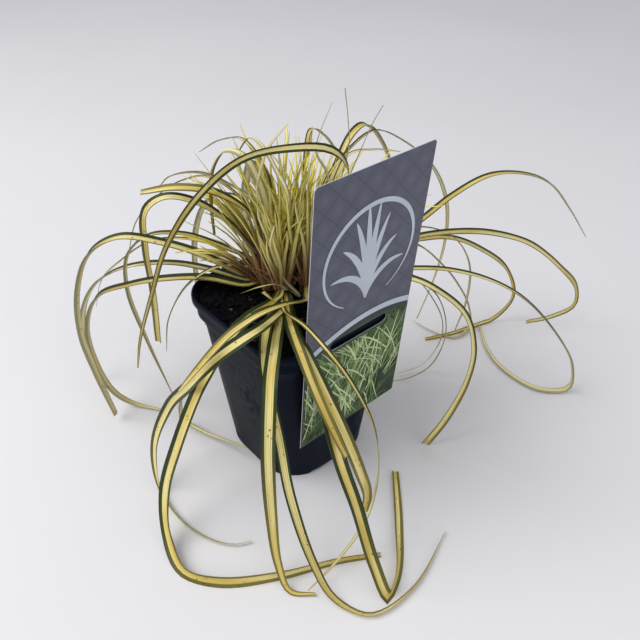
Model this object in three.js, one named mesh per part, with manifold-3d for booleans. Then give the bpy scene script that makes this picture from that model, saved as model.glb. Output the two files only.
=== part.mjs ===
// Striped evergreen sedge growing in a square nursery pot, with its plant label hooked over the rim.
// Millimetres, +Z up. The origin is the middle of the pot's base, on the ground.
// The pot's sides run along X and Y, and the label hangs on the -Y side.
import * as THREE from "three";
import { mergeVertices } from "three/addons/utils/BufferGeometryUtils.js";
import Module from "manifold-3d";

const wasm = await Module();
wasm.setup();

// ---- Driving dimensions ----

const POT_HEIGHT = 100;
// The pot's outside from the ground up: the plain wall, the shoulder band and the lip above it.
// half is half the side of the square and corner its corner radius.
const POT_OUTLINE = [
  { height: 0, half: 33.3, corner: 24.3 },
  { height: 86.5, half: 39.4, corner: 17.5 },
  { height: 88, half: 41.7, corner: 18.6 },
  { height: 94.8, half: 41.7, corner: 18.6 },
  { height: 95.8, half: 43.6, corner: 19.5 },
  { height: 99.2, half: 43.6, corner: 19.5 },
  { height: POT_HEIGHT, half: 43.1, corner: 19 },
];
const STEP_SHIFT = 0.6; // the inside steps out this much higher, to keep the wall's thickness
const POT_WALL = 1.3;
const POT_FLOOR = 3; // inside floor above the ground
const BASE_RECESS = 1.4; // the floor plate is raised this far between the feet
const FOOT_WIDTH = 3;
const FOOT_GAP = 34; // open length in the middle of each side's bottom edge
const CENTRE_PAD_RADIUS = 8;
const DRAIN_RADIUS = 3;
const DRAIN_RING = 19; // the drain holes' distance from the middle
const DRAIN_COUNT = 8;

const SEAT = 0.3; // clearance between pieces that lie on each other
const SOIL_LEVEL = 93;
const SOIL_HEAP = 2.2; // how far it rises at the crown
const HEAP_RADIUS = 24;
const SOIL_BANK = 3.6; // how far it rises towards the corner between -X and +Y
const SOIL_BUMP = 0.8;
const HOLE_DEPTH = 12; // how deep a shoot stands in the soil
const STEM_RADIUS = 4;
const STEM_TOP_RADIUS = 1.2;
const STEM_HEIGHT = 28; // from the bottom of its hole

const LABEL_WIDTH = 67.6;
const LABEL_THICK = 0.9;
const LABEL_ABOVE = 90.6; // from the slot's middle to the top edge
const LABEL_BELOW = 63.4; // from the slot's middle to the bottom edge
const LABEL_CUT = 1.2; // the small cut at the top corners
const LABEL_SPOT = new THREE.Vector3(3.6, -45.1, 98.8); // the slot's middle
const LABEL_LEAN = 5.8; // degrees outward
const LABEL_ROLL = -1; // degrees in its own plane
const LABEL_YAW = 0.6; // degrees about the vertical
const SLOT_LENGTH = 37;
const SLOT_HEIGHT = 5.4;
const TONGUE_WIDTH = 34;
const TONGUE_IN = 3.8; // from the card to the tongue's hanging leg, inside the rim
const TONGUE_OVER = 1.7; // the tongue's underside on the rim, above the slot's middle
const TONGUE_DROP = 3.6; // how far the leg reaches down inside the pot

const CROWN = new THREE.Vector3(6, 11.9, 0); // the middle of the tuft's foot
const CROWN_TURN = 8.9; // degrees that the plant stands turned in its pot
const CROWN_RING = 12; // the outer shoots' distance from the middle of the crown
const ROOT_HEIGHT = 3; // a long leaf leaves the stem this far above the soil's level
const NECK_HEIGHT = 9; // and has cleared it here
const GROUND_CLEARANCE = 0.2;
const BLADE_THICK = 1.1;
const INNER_THICK = 0.9;
const TWIST_START = 0.38; // the share of its length where a leaf begins to twist
const STEPS_PER_PLACE = 1.3; // straight stretches in a long leaf for each place that it passes
const INNER_PIECES = 4; // straight stretches in an inner leaf

// ---- Colours ----

const LEAF = { color: 0xbfb254, roughness: 0.55, metalness: 0 };
const INNER_LEAF = { color: 0xa39a48, roughness: 0.6, metalness: 0 };
const POT_PLASTIC = { color: 0x20222c, roughness: 0.5, metalness: 0 };
const SOIL = { color: 0x241a14, roughness: 0.95, metalness: 0 };
const LABEL_CARD = { color: 0x4d4f60, roughness: 0.35, metalness: 0 };

// ---- Solids from three.js geometry ----

function solidOf(geometry) {
  const bare = geometry.clone();
  bare.deleteAttribute("normal");
  bare.deleteAttribute("uv");
  const merged = mergeVertices(bare, 1e-4);
  return new wasm.Manifold(
    new wasm.Mesh({
      numProp: 3,
      vertProperties: merged.getAttribute("position").array,
      triVerts: new Uint32Array(merged.index.array),
    }),
  );
}

function geometryOf(solid) {
  const mesh = solid.getMesh();
  const geometry = new THREE.BufferGeometry();
  const places = new THREE.BufferAttribute(new Float32Array(mesh.vertProperties), 3);
  geometry.setAttribute("position", places);
  geometry.setIndex(new THREE.BufferAttribute(mesh.triVerts, 1));
  geometry.computeVertexNormals();
  return geometry;
}

// Solids fused into one body. A hollow that fusing seals is filled, a loose scrap is dropped.
function joined(solids) {
  const all = solids.reduce((sum, next) => sum.add(next));
  return all.decompose().reduce((most, next) => (next.volume() > most.volume() ? next : most));
}

// A closed body through equal rings of points, from the first ring to the last, with flat ends.
function loft(rings) {
  const sides = rings[0].length;
  const points = rings.flat();
  const faces = [];
  for (let r = 0; r + 1 < rings.length; r++) {
    for (let s = 0; s < sides; s++) {
      const here = r * sides + s;
      const next = r * sides + ((s + 1) % sides);
      faces.push(here, next, next + sides);
      faces.push(here, next + sides, here + sides);
    }
  }
  const last = (rings.length - 1) * sides;
  for (let s = 1; s + 1 < sides; s++) {
    faces.push(0, s + 1, s);
    faces.push(last, last + s, last + s + 1);
  }
  const geometry = new THREE.BufferGeometry().setFromPoints(points);
  geometry.setIndex(faces);
  return geometry;
}

// ---- Seeded chance ----

function chance(seed) {
  let state = seed;
  return () => {
    state = (state * 1664525 + 1013904223) % 4294967296;
    return state / 4294967296;
  };
}

// ---- The pot ----

// One ring of a square with round corners, anticlockwise seen from above.
function squareRing(half, corner, height, steps = 3) {
  const outline = new THREE.Shape();
  const straight = half - corner;
  const quarter = Math.PI / 2;
  outline.absarc(straight, straight, corner, 0, quarter, false);
  outline.absarc(-straight, straight, corner, quarter, 2 * quarter, false);
  outline.absarc(-straight, -straight, corner, 2 * quarter, 3 * quarter, false);
  outline.absarc(straight, -straight, corner, 3 * quarter, 4 * quarter, false);
  const points = outline.getPoints(steps);
  if (points[0].distanceTo(points[points.length - 1]) < 1e-6) points.pop();
  return points.map((p) => new THREE.Vector3(p.x, p.y, height));
}

// The ring of the plain wall at a height, moved out by out.
function wallRing(height, out = 0) {
  const [foot, top] = POT_OUTLINE;
  const up = height / top.height;
  const half = THREE.MathUtils.lerp(foot.half, top.half, up);
  const corner = THREE.MathUtils.lerp(foot.corner, top.corner, up);
  return squareRing(half + out, corner + out, height);
}

// A ring for each of the given places of the outline, moved out and up.
function bandRings(places, out, up) {
  return places.map((p) => squareRing(p.half + out, p.corner + out, p.height + up));
}

function box(width, depth, height, x, y, z) {
  const geometry = new THREE.BoxGeometry(width, depth, height);
  geometry.translate(x, y, z);
  return solidOf(geometry);
}

function post(radius, low, high, x, y, sides = 16) {
  const geometry = new THREE.CylinderGeometry(radius, radius, high - low, sides);
  geometry.rotateX(Math.PI / 2);
  geometry.translate(x, y, (low + high) / 2);
  return solidOf(geometry);
}

function potSolid() {
  const outside = loft(bandRings(POT_OUTLINE, 0, 0));
  const lip = POT_OUTLINE[4];
  const inside = loft([
    wallRing(POT_FLOOR, -POT_WALL),
    ...bandRings(POT_OUTLINE.slice(1, 5), -POT_WALL, STEP_SHIFT),
    squareRing(lip.half - POT_WALL, lip.corner - POT_WALL, POT_HEIGHT + 1),
  ]);
  let pot = solidOf(outside).subtract(solidOf(inside));
  const recess = loft([wallRing(-1, -FOOT_WIDTH), wallRing(BASE_RECESS, -FOOT_WIDTH)]);
  pot = pot.subtract(solidOf(recess));
  const across = 2 * POT_OUTLINE[0].half + 10;
  pot = pot.subtract(box(FOOT_GAP, across, 2 * BASE_RECESS, 0, 0, 0));
  pot = pot.subtract(box(across, FOOT_GAP, 2 * BASE_RECESS, 0, 0, 0));
  pot = pot.add(post(CENTRE_PAD_RADIUS, 0, POT_FLOOR - 1, 0, 0, 24));
  for (let i = 0; i < DRAIN_COUNT; i++) {
    const turn = ((i + 0.5) / DRAIN_COUNT) * 2 * Math.PI;
    const x = DRAIN_RING * Math.cos(turn);
    const y = DRAIN_RING * Math.sin(turn);
    pot = pot.subtract(post(DRAIN_RADIUS, -1, POT_FLOOR + 1, x, y, 12));
  }
  return pot;
}

// ---- The soil ----

// The soil is heaped a little round the crown and banked up against one corner of the pot.
function soilHeight(x, y) {
  const fromCrown = Math.hypot(x - CROWN.x, y - CROWN.y);
  const heap = SOIL_HEAP * Math.exp(-((fromCrown / HEAP_RADIUS) ** 2));
  const bank = SOIL_BANK * THREE.MathUtils.smoothstep(y - x, 8, 64);
  const bumps = Math.sin(0.9 * x + 1.3) * Math.cos(0.8 * y) + 0.6 * Math.sin(1.7 * y + 0.5 * x);
  return SOIL_LEVEL + heap + bank + SOIL_BUMP * bumps;
}

function soilSolid(shoots) {
  const inset = -POT_WALL - SEAT;
  const shoulder = bandRings(POT_OUTLINE.slice(1, 3), inset, STEP_SHIFT + 0.2);
  const crumbs = [1, 0.88, 0.76, 0.64, 0.52, 0.4, 0.28, 0.16, 0.06].map((share) =>
    shoulder[1].map((p) => {
      const x = p.x * share;
      const y = p.y * share;
      return new THREE.Vector3(x, y, soilHeight(x, y));
    }),
  );
  let soil = solidOf(loft([wallRing(POT_FLOOR + SEAT, inset), ...shoulder, ...crumbs]));
  for (const shoot of shoots) {
    const low = SOIL_LEVEL - HOLE_DEPTH - SEAT;
    const turn = THREE.MathUtils.degToRad(shoot.turn + CROWN_TURN);
    const x = CROWN.x + shoot.ring * Math.cos(turn);
    const y = CROWN.y + shoot.ring * Math.sin(turn);
    soil = soil.subtract(post(STEM_RADIUS + SEAT, low, POT_HEIGHT + 20, x, y, 12));
  }
  return soil;
}

// ---- The label ----

// A flat card with a slot. The tongue cut from the slot bends over the rim and down inside it.
// Its own X runs along the card, its own Z up it, and its own -Y is the printed front.
function labelSolid() {
  const half = LABEL_WIDTH / 2;
  const card = new THREE.Shape([
    new THREE.Vector2(-half, -LABEL_BELOW),
    new THREE.Vector2(half, -LABEL_BELOW),
    new THREE.Vector2(half, LABEL_ABOVE - LABEL_CUT),
    new THREE.Vector2(half - LABEL_CUT, LABEL_ABOVE),
    new THREE.Vector2(-half + LABEL_CUT, LABEL_ABOVE),
    new THREE.Vector2(-half, LABEL_ABOVE - LABEL_CUT),
  ]);
  const slot = new THREE.Path([
    new THREE.Vector2(-SLOT_LENGTH / 2, -SLOT_HEIGHT / 2),
    new THREE.Vector2(-SLOT_LENGTH / 2, SLOT_HEIGHT / 2),
    new THREE.Vector2(SLOT_LENGTH / 2, SLOT_HEIGHT / 2),
    new THREE.Vector2(SLOT_LENGTH / 2, -SLOT_HEIGHT / 2),
  ]);
  card.holes.push(slot);
  const plate = new THREE.ExtrudeGeometry(card, { depth: LABEL_THICK, bevelEnabled: false });
  plate.rotateX(Math.PI / 2); // the card stands up, and its thickness runs from y = 0 to -LABEL_THICK
  plate.translate(0, LABEL_THICK / 2, 0);
  // The tongue is an outline seen from the side: Y goes in over the rim, Z goes up.
  // It comes in from the slot's upper edge, lies over the rim and hangs inside it.
  const root = SLOT_HEIGHT / 2;
  const rest = TONGUE_OVER;
  const t = LABEL_THICK;
  const side = new THREE.Shape([
    new THREE.Vector2(0, root - 0.1),
    new THREE.Vector2(TONGUE_IN / 4, rest),
    new THREE.Vector2(TONGUE_IN, rest),
    new THREE.Vector2(TONGUE_IN, rest - TONGUE_DROP),
    new THREE.Vector2(TONGUE_IN + t, rest - TONGUE_DROP),
    new THREE.Vector2(TONGUE_IN + t, rest + t / 2),
    new THREE.Vector2(TONGUE_IN + t / 2, rest + t),
    new THREE.Vector2(TONGUE_IN / 4 + t / 2, rest + t),
    new THREE.Vector2(0, root + t),
  ]);
  const tongue = new THREE.ExtrudeGeometry(side, { depth: TONGUE_WIDTH, bevelEnabled: false });
  const turn = new THREE.Matrix4().makeBasis(
    new THREE.Vector3(0, 1, 0),
    new THREE.Vector3(0, 0, 1),
    new THREE.Vector3(1, 0, 0),
  );
  tongue.applyMatrix4(turn);
  tongue.translate(-TONGUE_WIDTH / 2, 0, 0);
  return solidOf(plate).add(solidOf(tongue));
}

// ---- Leaves ----

// The blade's width along it: a narrow foot, the full width past a sixth of its length,
// and a taper over the last part down to the width of its end.
function bladeWidth(along, width, end) {
  const foot = 0.55 + 0.45 * Math.min(1, along / 0.16);
  const taper = Math.max(0, (along - 0.55) / 0.45);
  return width * foot * (1 - taper * taper * (1 - end));
}

// How far a leaf has turned about its own line at a share of its length. twist is a list of stops,
// each a share and its degrees, or one number of degrees that is reached at the tip.
function turnAt(twist, along) {
  const stops = Array.isArray(twist) ? twist : [[TWIST_START, 0], [1, twist]];
  let turned = stops[0][1];
  for (let i = 1; i < stops.length; i++) {
    const share = THREE.MathUtils.smoothstep(along, stops[i - 1][0], stops[i][0]);
    turned += (stops[i][1] - stops[i - 1][1]) * share;
  }
  return THREE.MathUtils.degToRad(turned);
}

// A three-sided blade along a smooth curve through the given places: a flat top with a keel below.
// It turns with the curve, lies back towards flat where it runs level, and rests on the ground.
// Along its way it also turns about its own line, as twist says.
function blade({ width, end = 0.25, twist = 0, through, steps = 12, thick = BLADE_THICK }) {
  const curve = new THREE.CatmullRomCurve3(through, false, "centripetal");
  const up = new THREE.Vector3(0, 0, 1);
  const rings = [];
  let side = null;
  let before = null;
  for (let i = 0; i <= steps; i++) {
    const along = i / steps;
    const place = curve.getPointAt(along);
    const ahead = curve.getTangentAt(along);
    const level = new THREE.Vector3().crossVectors(ahead, up);
    if (side === null) {
      side = level.lengthSq() > 1e-6 ? level.clone().normalize() : new THREE.Vector3(1, 0, 0);
    } else {
      const turn = new THREE.Quaternion().setFromUnitVectors(before, ahead);
      side.applyQuaternion(turn);
      const sign = Math.sign(side.dot(level)) || 1;
      side.addScaledVector(level, 0.5 * sign);
      side.addScaledVector(ahead, -side.dot(ahead)).normalize();
    }
    before = ahead.clone();
    const across = side.clone().applyAxisAngle(ahead, -turnAt(twist, along));
    const over = new THREE.Vector3().crossVectors(across, ahead);
    const half = bladeWidth(along, width, end) / 2;
    const deep = thick * (along > 0.9 ? 0.8 : 1);
    const left = place.clone().addScaledVector(across, -half);
    const keel = place.clone().addScaledVector(over, -deep);
    const right = place.clone().addScaledVector(across, half);
    const ring = [right, keel, left];
    const lift = GROUND_CLEARANCE - Math.min(right.z, keel.z, left.z);
    if (lift > 0) for (const corner of ring) corner.z += lift;
    rings.push(ring);
  }
  return loft(rings);
}

// The long leaves that give the plant its outline, by the shoot that they grow from.
// Each is its width, the share of that width left at its end, its twist, and the places
// that it passes, measured from the middle of the crown at the ground's level.
const FRONT_LEAVES = [
  { width: 5.8, end: 0.2, twist: [[0.15, 0], [0.35, 45], [0.55, 75], [0.7, 60], [0.85, 40]],
    places: [[-26.7, -21.1, 106], [-44.9, -32.3, 115], [-56, -35.7, 117.5],
      [-65.5, -34.7, 116.5], [-74.3, -28.9, 110], [-80.3, -20.9, 99], [-81.2, -9.8, 84],
      [-81, 10, 58], [-87, 21, 26], [-93, 14, 4], [-98, -9, 1.6], [-96, -30, 1.6],
      [-90, -42, 1.6], [-83, -47, 1.6]] },
  { width: 7.2, end: 0.5, twist: [[0.3, 5], [0.5, 15], [0.6, -5], [0.7, -50],
    [0.9, -75]], places: [[-26.9, -15.3, 107], [-45.3, -18.8, 110.5], [-56.5, -19.5, 108.5],
    [-66.6, -18.8, 102], [-74.3, -17.3, 93], [-80, -15.4, 84], [-93, -12, 58], [-103, -8, 28],
    [-111, -15, 9], [-118, -36, 1.6], [-110, -53, 1.6], [-89, -72, 1.6], [-63, -89, 1.6],
    [-47, -102, 1.6]] },
  { width: 3.2, end: 0.3, places: [[-20, -20, 105], [-40, -19, 110], [-59, -16, 106], [-71, -2, 80],
    [-69, 14, 54], [-59, 32, 24], [-51, 42, 5], [-49, 26, 4], [-46, 6, 7], [-47, -8, 13]] },
  { width: 6.7, end: 0.2, places: [[-34, -25, 104], [-52, -40, 109], [-69, -53, 105],
    [-76, -58, 92], [-80, -60, 70], [-84, -64, 38], [-89, -72, 12], [-91, -81, 2],
    [-84, -91, 1.6]] },
  { width: 5, end: 0.2, twist: 75, places: [[-41, -25, 107], [-57, -38, 108], [-68, -50, 102],
    [-73, -61, 76], [-77, -70, 50], [-80, -86, 18], [-81, -100, 4], [-75, -117, 1.6],
    [-51, -124, 1.6], [-14, -119, 1.6]] },
  { width: 6.6, end: 0.55, places: [[-33, -31, 107], [-54.4, -60, 112], [-58.7, -73.2, 101],
    [-61.7, -86.7, 71.5], [-61, -96, 48], [-62, -108, 18], [-63, -119, 2], [-50, -115, 1.6],
    [-27, -99, 1.6], [2, -76, 1.6]] },
  { width: 4.9, end: 0.65, places: [[-38.8, -36.5, 113], [-59.8, -61.1, 123], [-66.1, -76.6, 110],
    [-65.2, -87.8, 89], [-63.4, -91.1, 80]] },
  { width: 5.8, end: 0.8, twist: -60, places: [[-45, -46, 111], [-57, -62, 119], [-62, -75, 112],
    [-60, -86, 90], [-54, -92, 62], [-46, -91, 38], [-45, -89, 22]] },
  { width: 2.6, end: 0.3, twist: 60, places: [[-24, -18, 108], [-39.2, -33.8, 116.5],
    [-55, -61, 130], [-61, -76, 131], [-58, -87, 118], [-50, -95, 90], [-46, -96, 62],
    [-48, -95, 36], [-55, -93, 20], [-69, -90, 8], [-86, -88, 4]] },
  { width: 2.2, end: 0.3, places: [[-16, -14, 107], [-22, -13, 113], [-26, -5, 110],
    [-27, 9, 100]] },
  { width: 2, end: 0.3, places: [[-9, -16, 100], [-16, -13, 112], [-24, -15, 128], [-30, -18, 142],
    [-28, -19, 150]] },
  { width: 2, end: 0.3, places: [[-14, -1, 118], [-17, 1, 143], [-20, -1, 159], [-24, -8, 172],
    [-22, -11, 182], [-10, -12, 190]] },
  { width: 2.8, end: 1, places: [[-24, -17, 109], [-31.6, -19.4, 112], [-32.3, -13.3, 114]] },
];

const LEFT_LEAVES = [
  { width: 7.4, end: 0.6, twist: -15, places: [[-19, 16, 106], [-31, 32, 117], [-44, 48, 124],
    [-57, 63, 127], [-68, 76, 118], [-75, 85, 94], [-79, 86, 68], [-77, 85, 38], [-74, 79, 4]] },
  { width: 5.4, end: 0.8, twist: -15, places: [[-15, 16, 100], [-25, 34, 104], [-33, 58, 102],
    [-44, 84, 94], [-52, 105, 79], [-58, 118, 56], [-60, 123, 30], [-58, 120, 8]] },
  { width: 6.8, end: 0.2, twist: -15, places: [[-21, 11, 102], [-33, 26, 106], [-45, 44, 104],
    [-55, 67, 95], [-66, 83, 86], [-72, 91, 64], [-73, 90, 40], [-68, 86, 14], [-60, 80, 2],
    [-52, 62, 1.6]] },
  { width: 3, end: 0.3, places: [[-16, 10, 110], [-28, 22, 112], [-40, 34, 102], [-48, 45, 79],
    [-51, 48, 56]] },
];

const BACK_LEFT_LEAVES = [
  { width: 7.2, end: 0.6, twist: [[0.4, 5], [0.6, 50], [1, 65]],
    places: [[-12, 15, 121], [-18, 25, 134], [-26, 38, 143],
    [-35, 50, 145], [-42, 59, 137], [-44, 62, 114], [-44, 62, 86], [-45, 64, 50]] },
  { width: 5, end: 0.2, places: [[-10, 18, 110], [-20, 33, 118], [-29, 48, 122], [-39, 65, 119],
    [-46, 76, 107], [-49, 79, 84], [-46, 74, 48], [-41, 65, 6]] },
  { width: 3.2, end: 0.3, twist: 30, places: [[-9, 33, 108], [-14, 61, 107], [-21, 90, 98],
    [-28, 115, 78], [-33, 135, 57], [-35, 146, 32]] },
  { width: 5.4, end: 0.6, twist: [[0.6, 20], [1, 40]], places: [[-9, 14, 135], [-18, 29, 147],
    [-28, 48, 148], [-37, 68, 142]] },
  { width: 4.8, end: 0.2, twist: -15, places: [[-10, 11, 145], [-19, 22, 156], [-26, 33, 160],
    [-34, 45, 157], [-37, 51, 150]] },
  { width: 2.6, end: 0.3, places: [[-6, 22, 138], [-11, 42, 149], [-15, 63, 142], [-19, 86, 124],
    [-22, 101, 106], [-24, 110, 85]] },
  { width: 4.2, end: 0.5, twist: -15, places: [[-5, 8, 137], [-6, 11, 152], [-9, 18, 166],
    [-11, 28, 167], [-14, 36, 156], [-15, 39, 136], [-15, 39, 118]] },
];

const BACK_LEAVES = [
  { width: 3, end: 0.3, places: [[4, 18, 156], [6, 34, 166], [9, 54, 160], [14, 80, 144]] },
  { width: 5.4, end: 0.35, places: [[15, 24, 130], [27, 44, 142], [41, 66, 134], [53, 86, 106],
    [59, 96, 68], [59, 96, 30], [55, 90, 3]] },
  { width: 5, end: 0.3, places: [[9, 28, 122], [13, 54, 126], [18, 82, 112], [21, 102, 80],
    [22, 108, 42], [19, 100, 8]] },
  { width: 4.4, end: 0.3, places: [[23, 20, 112], [47, 36, 114], [73, 54, 98], [91, 66, 64],
    [97, 70, 26], [91, 80, 2], [75, 88, 1.6]] },
];

const BACK_RIGHT_LEAVES = [
  { width: 2.6, end: 0.3, places: [[18, 4, 150], [25, 6, 172], [43, 12, 163], [62, 18, 145],
    [77, 22, 128]] },
  { width: 5.6, end: 0.2, twist: -30, places: [[21, -2, 130], [31, -4, 150], [43, -6, 168],
    [53, -7, 171], [67, -8, 158], [81, -8, 132], [89, -6, 100]] },
  { width: 2.6, end: 0.4, twist: 75, places: [[25, -4, 148], [39, -8, 162], [57, -10, 167],
    [79, -13, 156], [113, -16, 127], [129, -18, 98], [132, -18, 69], [125, -17, 43],
    [110, -16, 18]] },
  { width: 5, end: 0.3, places: [[31, 8, 112], [63, 14, 116], [95, 20, 98], [119, 25, 62],
    [125, 26, 24], [115, 24, 2]] },
];

const RIGHT_LEAVES = [
  { width: 5, end: 0.4, twist: -15, places: [[37, -22, 104], [71, -34, 117], [89, -42, 128],
    [111, -51, 135], [135, -60, 131], [159, -69, 119], [181, -78, 95], [200, -86, 70]] },
  { width: 5.4, end: 0.5,
    twist: [[0.15, 0], [0.5, -20], [0.6, -35], [0.7, -45], [0.8, -70], [0.9, -110]],
    places: [[37, -22, 108], [69, -36, 109], [91, -46, 106], [117, -57, 98],
    [147, -70, 82], [175, -83, 56], [193, -91, 34], [195, -92, 18], [181, -83, 12],
    [165, -72, 11]] },
  { width: 4.8, end: 0.6,
    twist: [[0.15, 0], [0.3, -15], [0.5, -40], [0.6, -50], [0.8, -100], [1, -90]],
    places: [[45, -18, 104], [80, -28, 99], [107, -35, 91],
    [134, -43, 74], [163, -52, 47], [174, -55, 18], [161, -47, 2], [129, -33, 1.6],
    [113, -23, 1.6]] },
  { width: 3.6, end: 0.2, twist: -30, places: [[49, -16, 106], [84, -26, 93], [105, -31, 73],
    [123, -35, 51], [139, -39, 24], [143, -40, 4], [128, -37, 1.6], [124, -20, 1.6],
    [126, -4, 1.6]] },
  { width: 4.8, end: 0.2, places: [[31, -32, 104], [45, -47, 104], [59, -60, 102], [77, -76, 94],
    [95, -92, 79], [112, -108, 54], [126, -120, 25], [128, -121, 3], [117, -106, 1.6],
    [120, -80, 1.6], [132, -61, 1.6], [152, -43, 1.6]] },
  { width: 2.6, end: 0.3, twist: -60, places: [[35, -24, 105], [58, -39, 91], [70, -45, 75],
    [83, -50, 49], [87, -48, 28], [84, -39, 6], [70, -29, 1.6]] },
  { width: 2.8, end: 0.2, twist: -90, places: [[36, -28, 104], [54, -42, 92], [68, -52, 77],
    [77, -56, 53], [80, -54, 32], [78, -47, 12], [71, -37, 1.6], [61, -30, 1.6]] },
  { width: 2.2, end: 0.35, places: [[43, -20, 110], [77, -30, 109], [105, -39, 93], [120, -44, 69],
    [128, -42, 36], [134, -34, 3]] },
  { width: 1.6, end: 0.4, places: [[24, -19, 168], [21, -21, 185], [12, -26, 203]] },
  { width: 1.6, end: 0.4, places: [[26, -25, 170], [23, -33, 185], [20, -41, 197]] },
  { width: 3, end: 0.3, places: [[26, -17, 165], [39, -24, 166], [53, -30, 162]] },
];

const LABEL_SIDE_LEAVES = [
  { width: 5.8, end: 1, twist: -60, places: [[15, -40, 110], [28, -58, 111], [34, -72, 106],
    [39, -86, 95], [40, -93, 76], [38, -93, 54], [34, -86, 24], [29, -78, 2]] },
  { width: 1.6, end: 0.4, places: [[1, -26, 165], [-5, -24, 180], [2, -27, 200]] },
  { width: 4.8, end: 0.3, twist: 20,
    places: [[-8, -20, 104], [-22.4, -32.4, 113], [-41.5, -36.2, 122.5], [-53.1, -34, 123.3],
      [-60.7, -30.8, 120.5], [-68.4, -28.5, 117.3], [-75.8, -25.5, 111.3], [-81.9, -22.3, 104.3],
      [-86.6, -17.5, 95.5], [-88.2, -12.4, 87.5]] },
];

const HEART_LEAVES = [
  { width: 3.8, end: 0.2, twist: [[0.12, 180], [0.22, 140], [0.4, 155], [0.6, 140],
    [0.7, 155], [1, 140]], places: [[10, -18, 128], [12.2, -27.3, 150], [4.7, -34.5, 172],
    [-8, -34, 184], [-22, -24, 186], [-33, -7, 180], [-43, 14, 159], [-53, 30, 131],
    [-58, 41, 102], [-62, 54, 68], [-62, 63, 42]] },
  { width: 2.6, end: 0.3, places: [[-3, -4, 151], [-2, 4, 161], [-2, 13, 171], [-1, 22, 172],
    [0, 34, 159]] },
];

// The outer shoots stand round the crown, each towards its own side, and one stands in the middle.
// turn is the direction from the crown's middle in degrees, anticlockwise from +X. The inner leaves
// stand within spread of it: lean is their start from the vertical and bend how far they arch over.
const OUTER = {
  ring: CROWN_RING,
  spread: 19,
  inner: 13,
  lean: [17, 43],
  bend: [20, 80],
  length: [50, 84],
};
const SHOOTS = [
  { ...OUTER, name: "front_shoot", turn: -150, seed: 11, leaves: FRONT_LEAVES,
    lean: [12, 24], bend: [6, 24], length: [46, 76] },
  { ...OUTER, name: "left_shoot", turn: 150, seed: 23, leaves: LEFT_LEAVES, length: [44, 66] },
  { ...OUTER, name: "back_left_shoot", turn: 100, seed: 37, leaves: BACK_LEFT_LEAVES },
  { ...OUTER, name: "back_shoot", turn: 55, seed: 41, leaves: BACK_LEAVES, inner: 15 },
  { ...OUTER, name: "back_right_shoot", turn: 10, seed: 59, leaves: BACK_RIGHT_LEAVES, inner: 14 },
  { ...OUTER, name: "right_shoot", turn: -35, seed: 61, leaves: RIGHT_LEAVES },
  { ...OUTER, name: "label_side_shoot", turn: -85, seed: 73, leaves: LABEL_SIDE_LEAVES,
    inner: 11, lean: [12, 20], bend: [6, 20], length: [55, 82] },
  { name: "heart_shoot", turn: 60, seed: 89, leaves: HEART_LEAVES, ring: 0, spread: 180,
    inner: 18, lean: [2, 13], bend: [6, 40], length: [50, 84] },
];

for (const shoot of SHOOTS) {
  const turn = THREE.MathUtils.degToRad(shoot.turn);
  shoot.x = shoot.ring * Math.cos(turn);
  shoot.y = shoot.ring * Math.sin(turn);
}

// The short inner leaves of a shoot fan out and up from its foot, each a plain arch:
// it climbs at its own lean and bends over by its own amount.
function innerPlaces(shoot, draw) {
  const within = (range) => range[0] + (range[1] - range[0]) * draw();
  const turn = THREE.MathUtils.degToRad(shoot.turn + within([-shoot.spread, shoot.spread]));
  const lean = THREE.MathUtils.degToRad(within(shoot.lean));
  const bend = THREE.MathUtils.degToRad(within(shoot.bend));
  const length = within(shoot.length);
  const out = within([0, 1.2]);
  const place = new THREE.Vector3(Math.cos(turn), Math.sin(turn), 0).multiplyScalar(out);
  place.add(new THREE.Vector3(shoot.x, shoot.y, SOIL_LEVEL + 2));
  const places = [];
  for (let i = 0; i <= INNER_PIECES; i++) {
    places.push(place.clone());
    const tilt = lean + bend * (i / INNER_PIECES) ** 1.5;
    const step = length / INNER_PIECES;
    place.x += step * Math.sin(tilt) * Math.cos(turn);
    place.y += step * Math.sin(tilt) * Math.sin(turn);
    place.z += step * Math.cos(tilt);
  }
  return places;
}

function shootSolid(shoot) {
  const draw = chance(shoot.seed);
  const foot = SOIL_LEVEL - HOLE_DEPTH;
  // CylinderGeometry's axis is Y, so after the turn its first radius is the upper one.
  const stem = new THREE.CylinderGeometry(STEM_TOP_RADIUS, STEM_RADIUS, STEM_HEIGHT, 9);
  stem.rotateX(Math.PI / 2);
  stem.translate(shoot.x, shoot.y, foot + STEM_HEIGHT / 2);
  const solids = [solidOf(stem)];
  for (const leaf of shoot.leaves) {
    const places = leaf.places.map((place) => new THREE.Vector3(...place));
    const root = new THREE.Vector3(shoot.x, shoot.y, SOIL_LEVEL + ROOT_HEIGHT);
    const neck = new THREE.Vector3(shoot.x, shoot.y, SOIL_LEVEL + NECK_HEIGHT);
    neck.lerp(places[0], 0.12);
    const through = [root, neck, ...places];
    const steps = Math.round(STEPS_PER_PLACE * through.length);
    solids.push(solidOf(blade({ ...leaf, through, steps })));
  }
  for (let i = 0; i < shoot.inner; i++) {
    const width = 2 + 1.2 * draw();
    const through = innerPlaces(shoot, draw);
    const steps = INNER_PIECES;
    solids.push(solidOf(blade({ width, end: 0.3, through, steps, thick: INNER_THICK })));
  }
  return joined(solids);
}

// ---- The whole plant ----

const model = new THREE.Group();
const clump = new THREE.Group();
clump.position.copy(CROWN);
clump.rotation.z = THREE.MathUtils.degToRad(CROWN_TURN);
model.add(clump);

function addPiece(group, name, solid, look) {
  const mesh = new THREE.Mesh(geometryOf(solid), new THREE.MeshStandardMaterial(look));
  mesh.name = name;
  group.add(mesh);
  return mesh;
}

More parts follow.
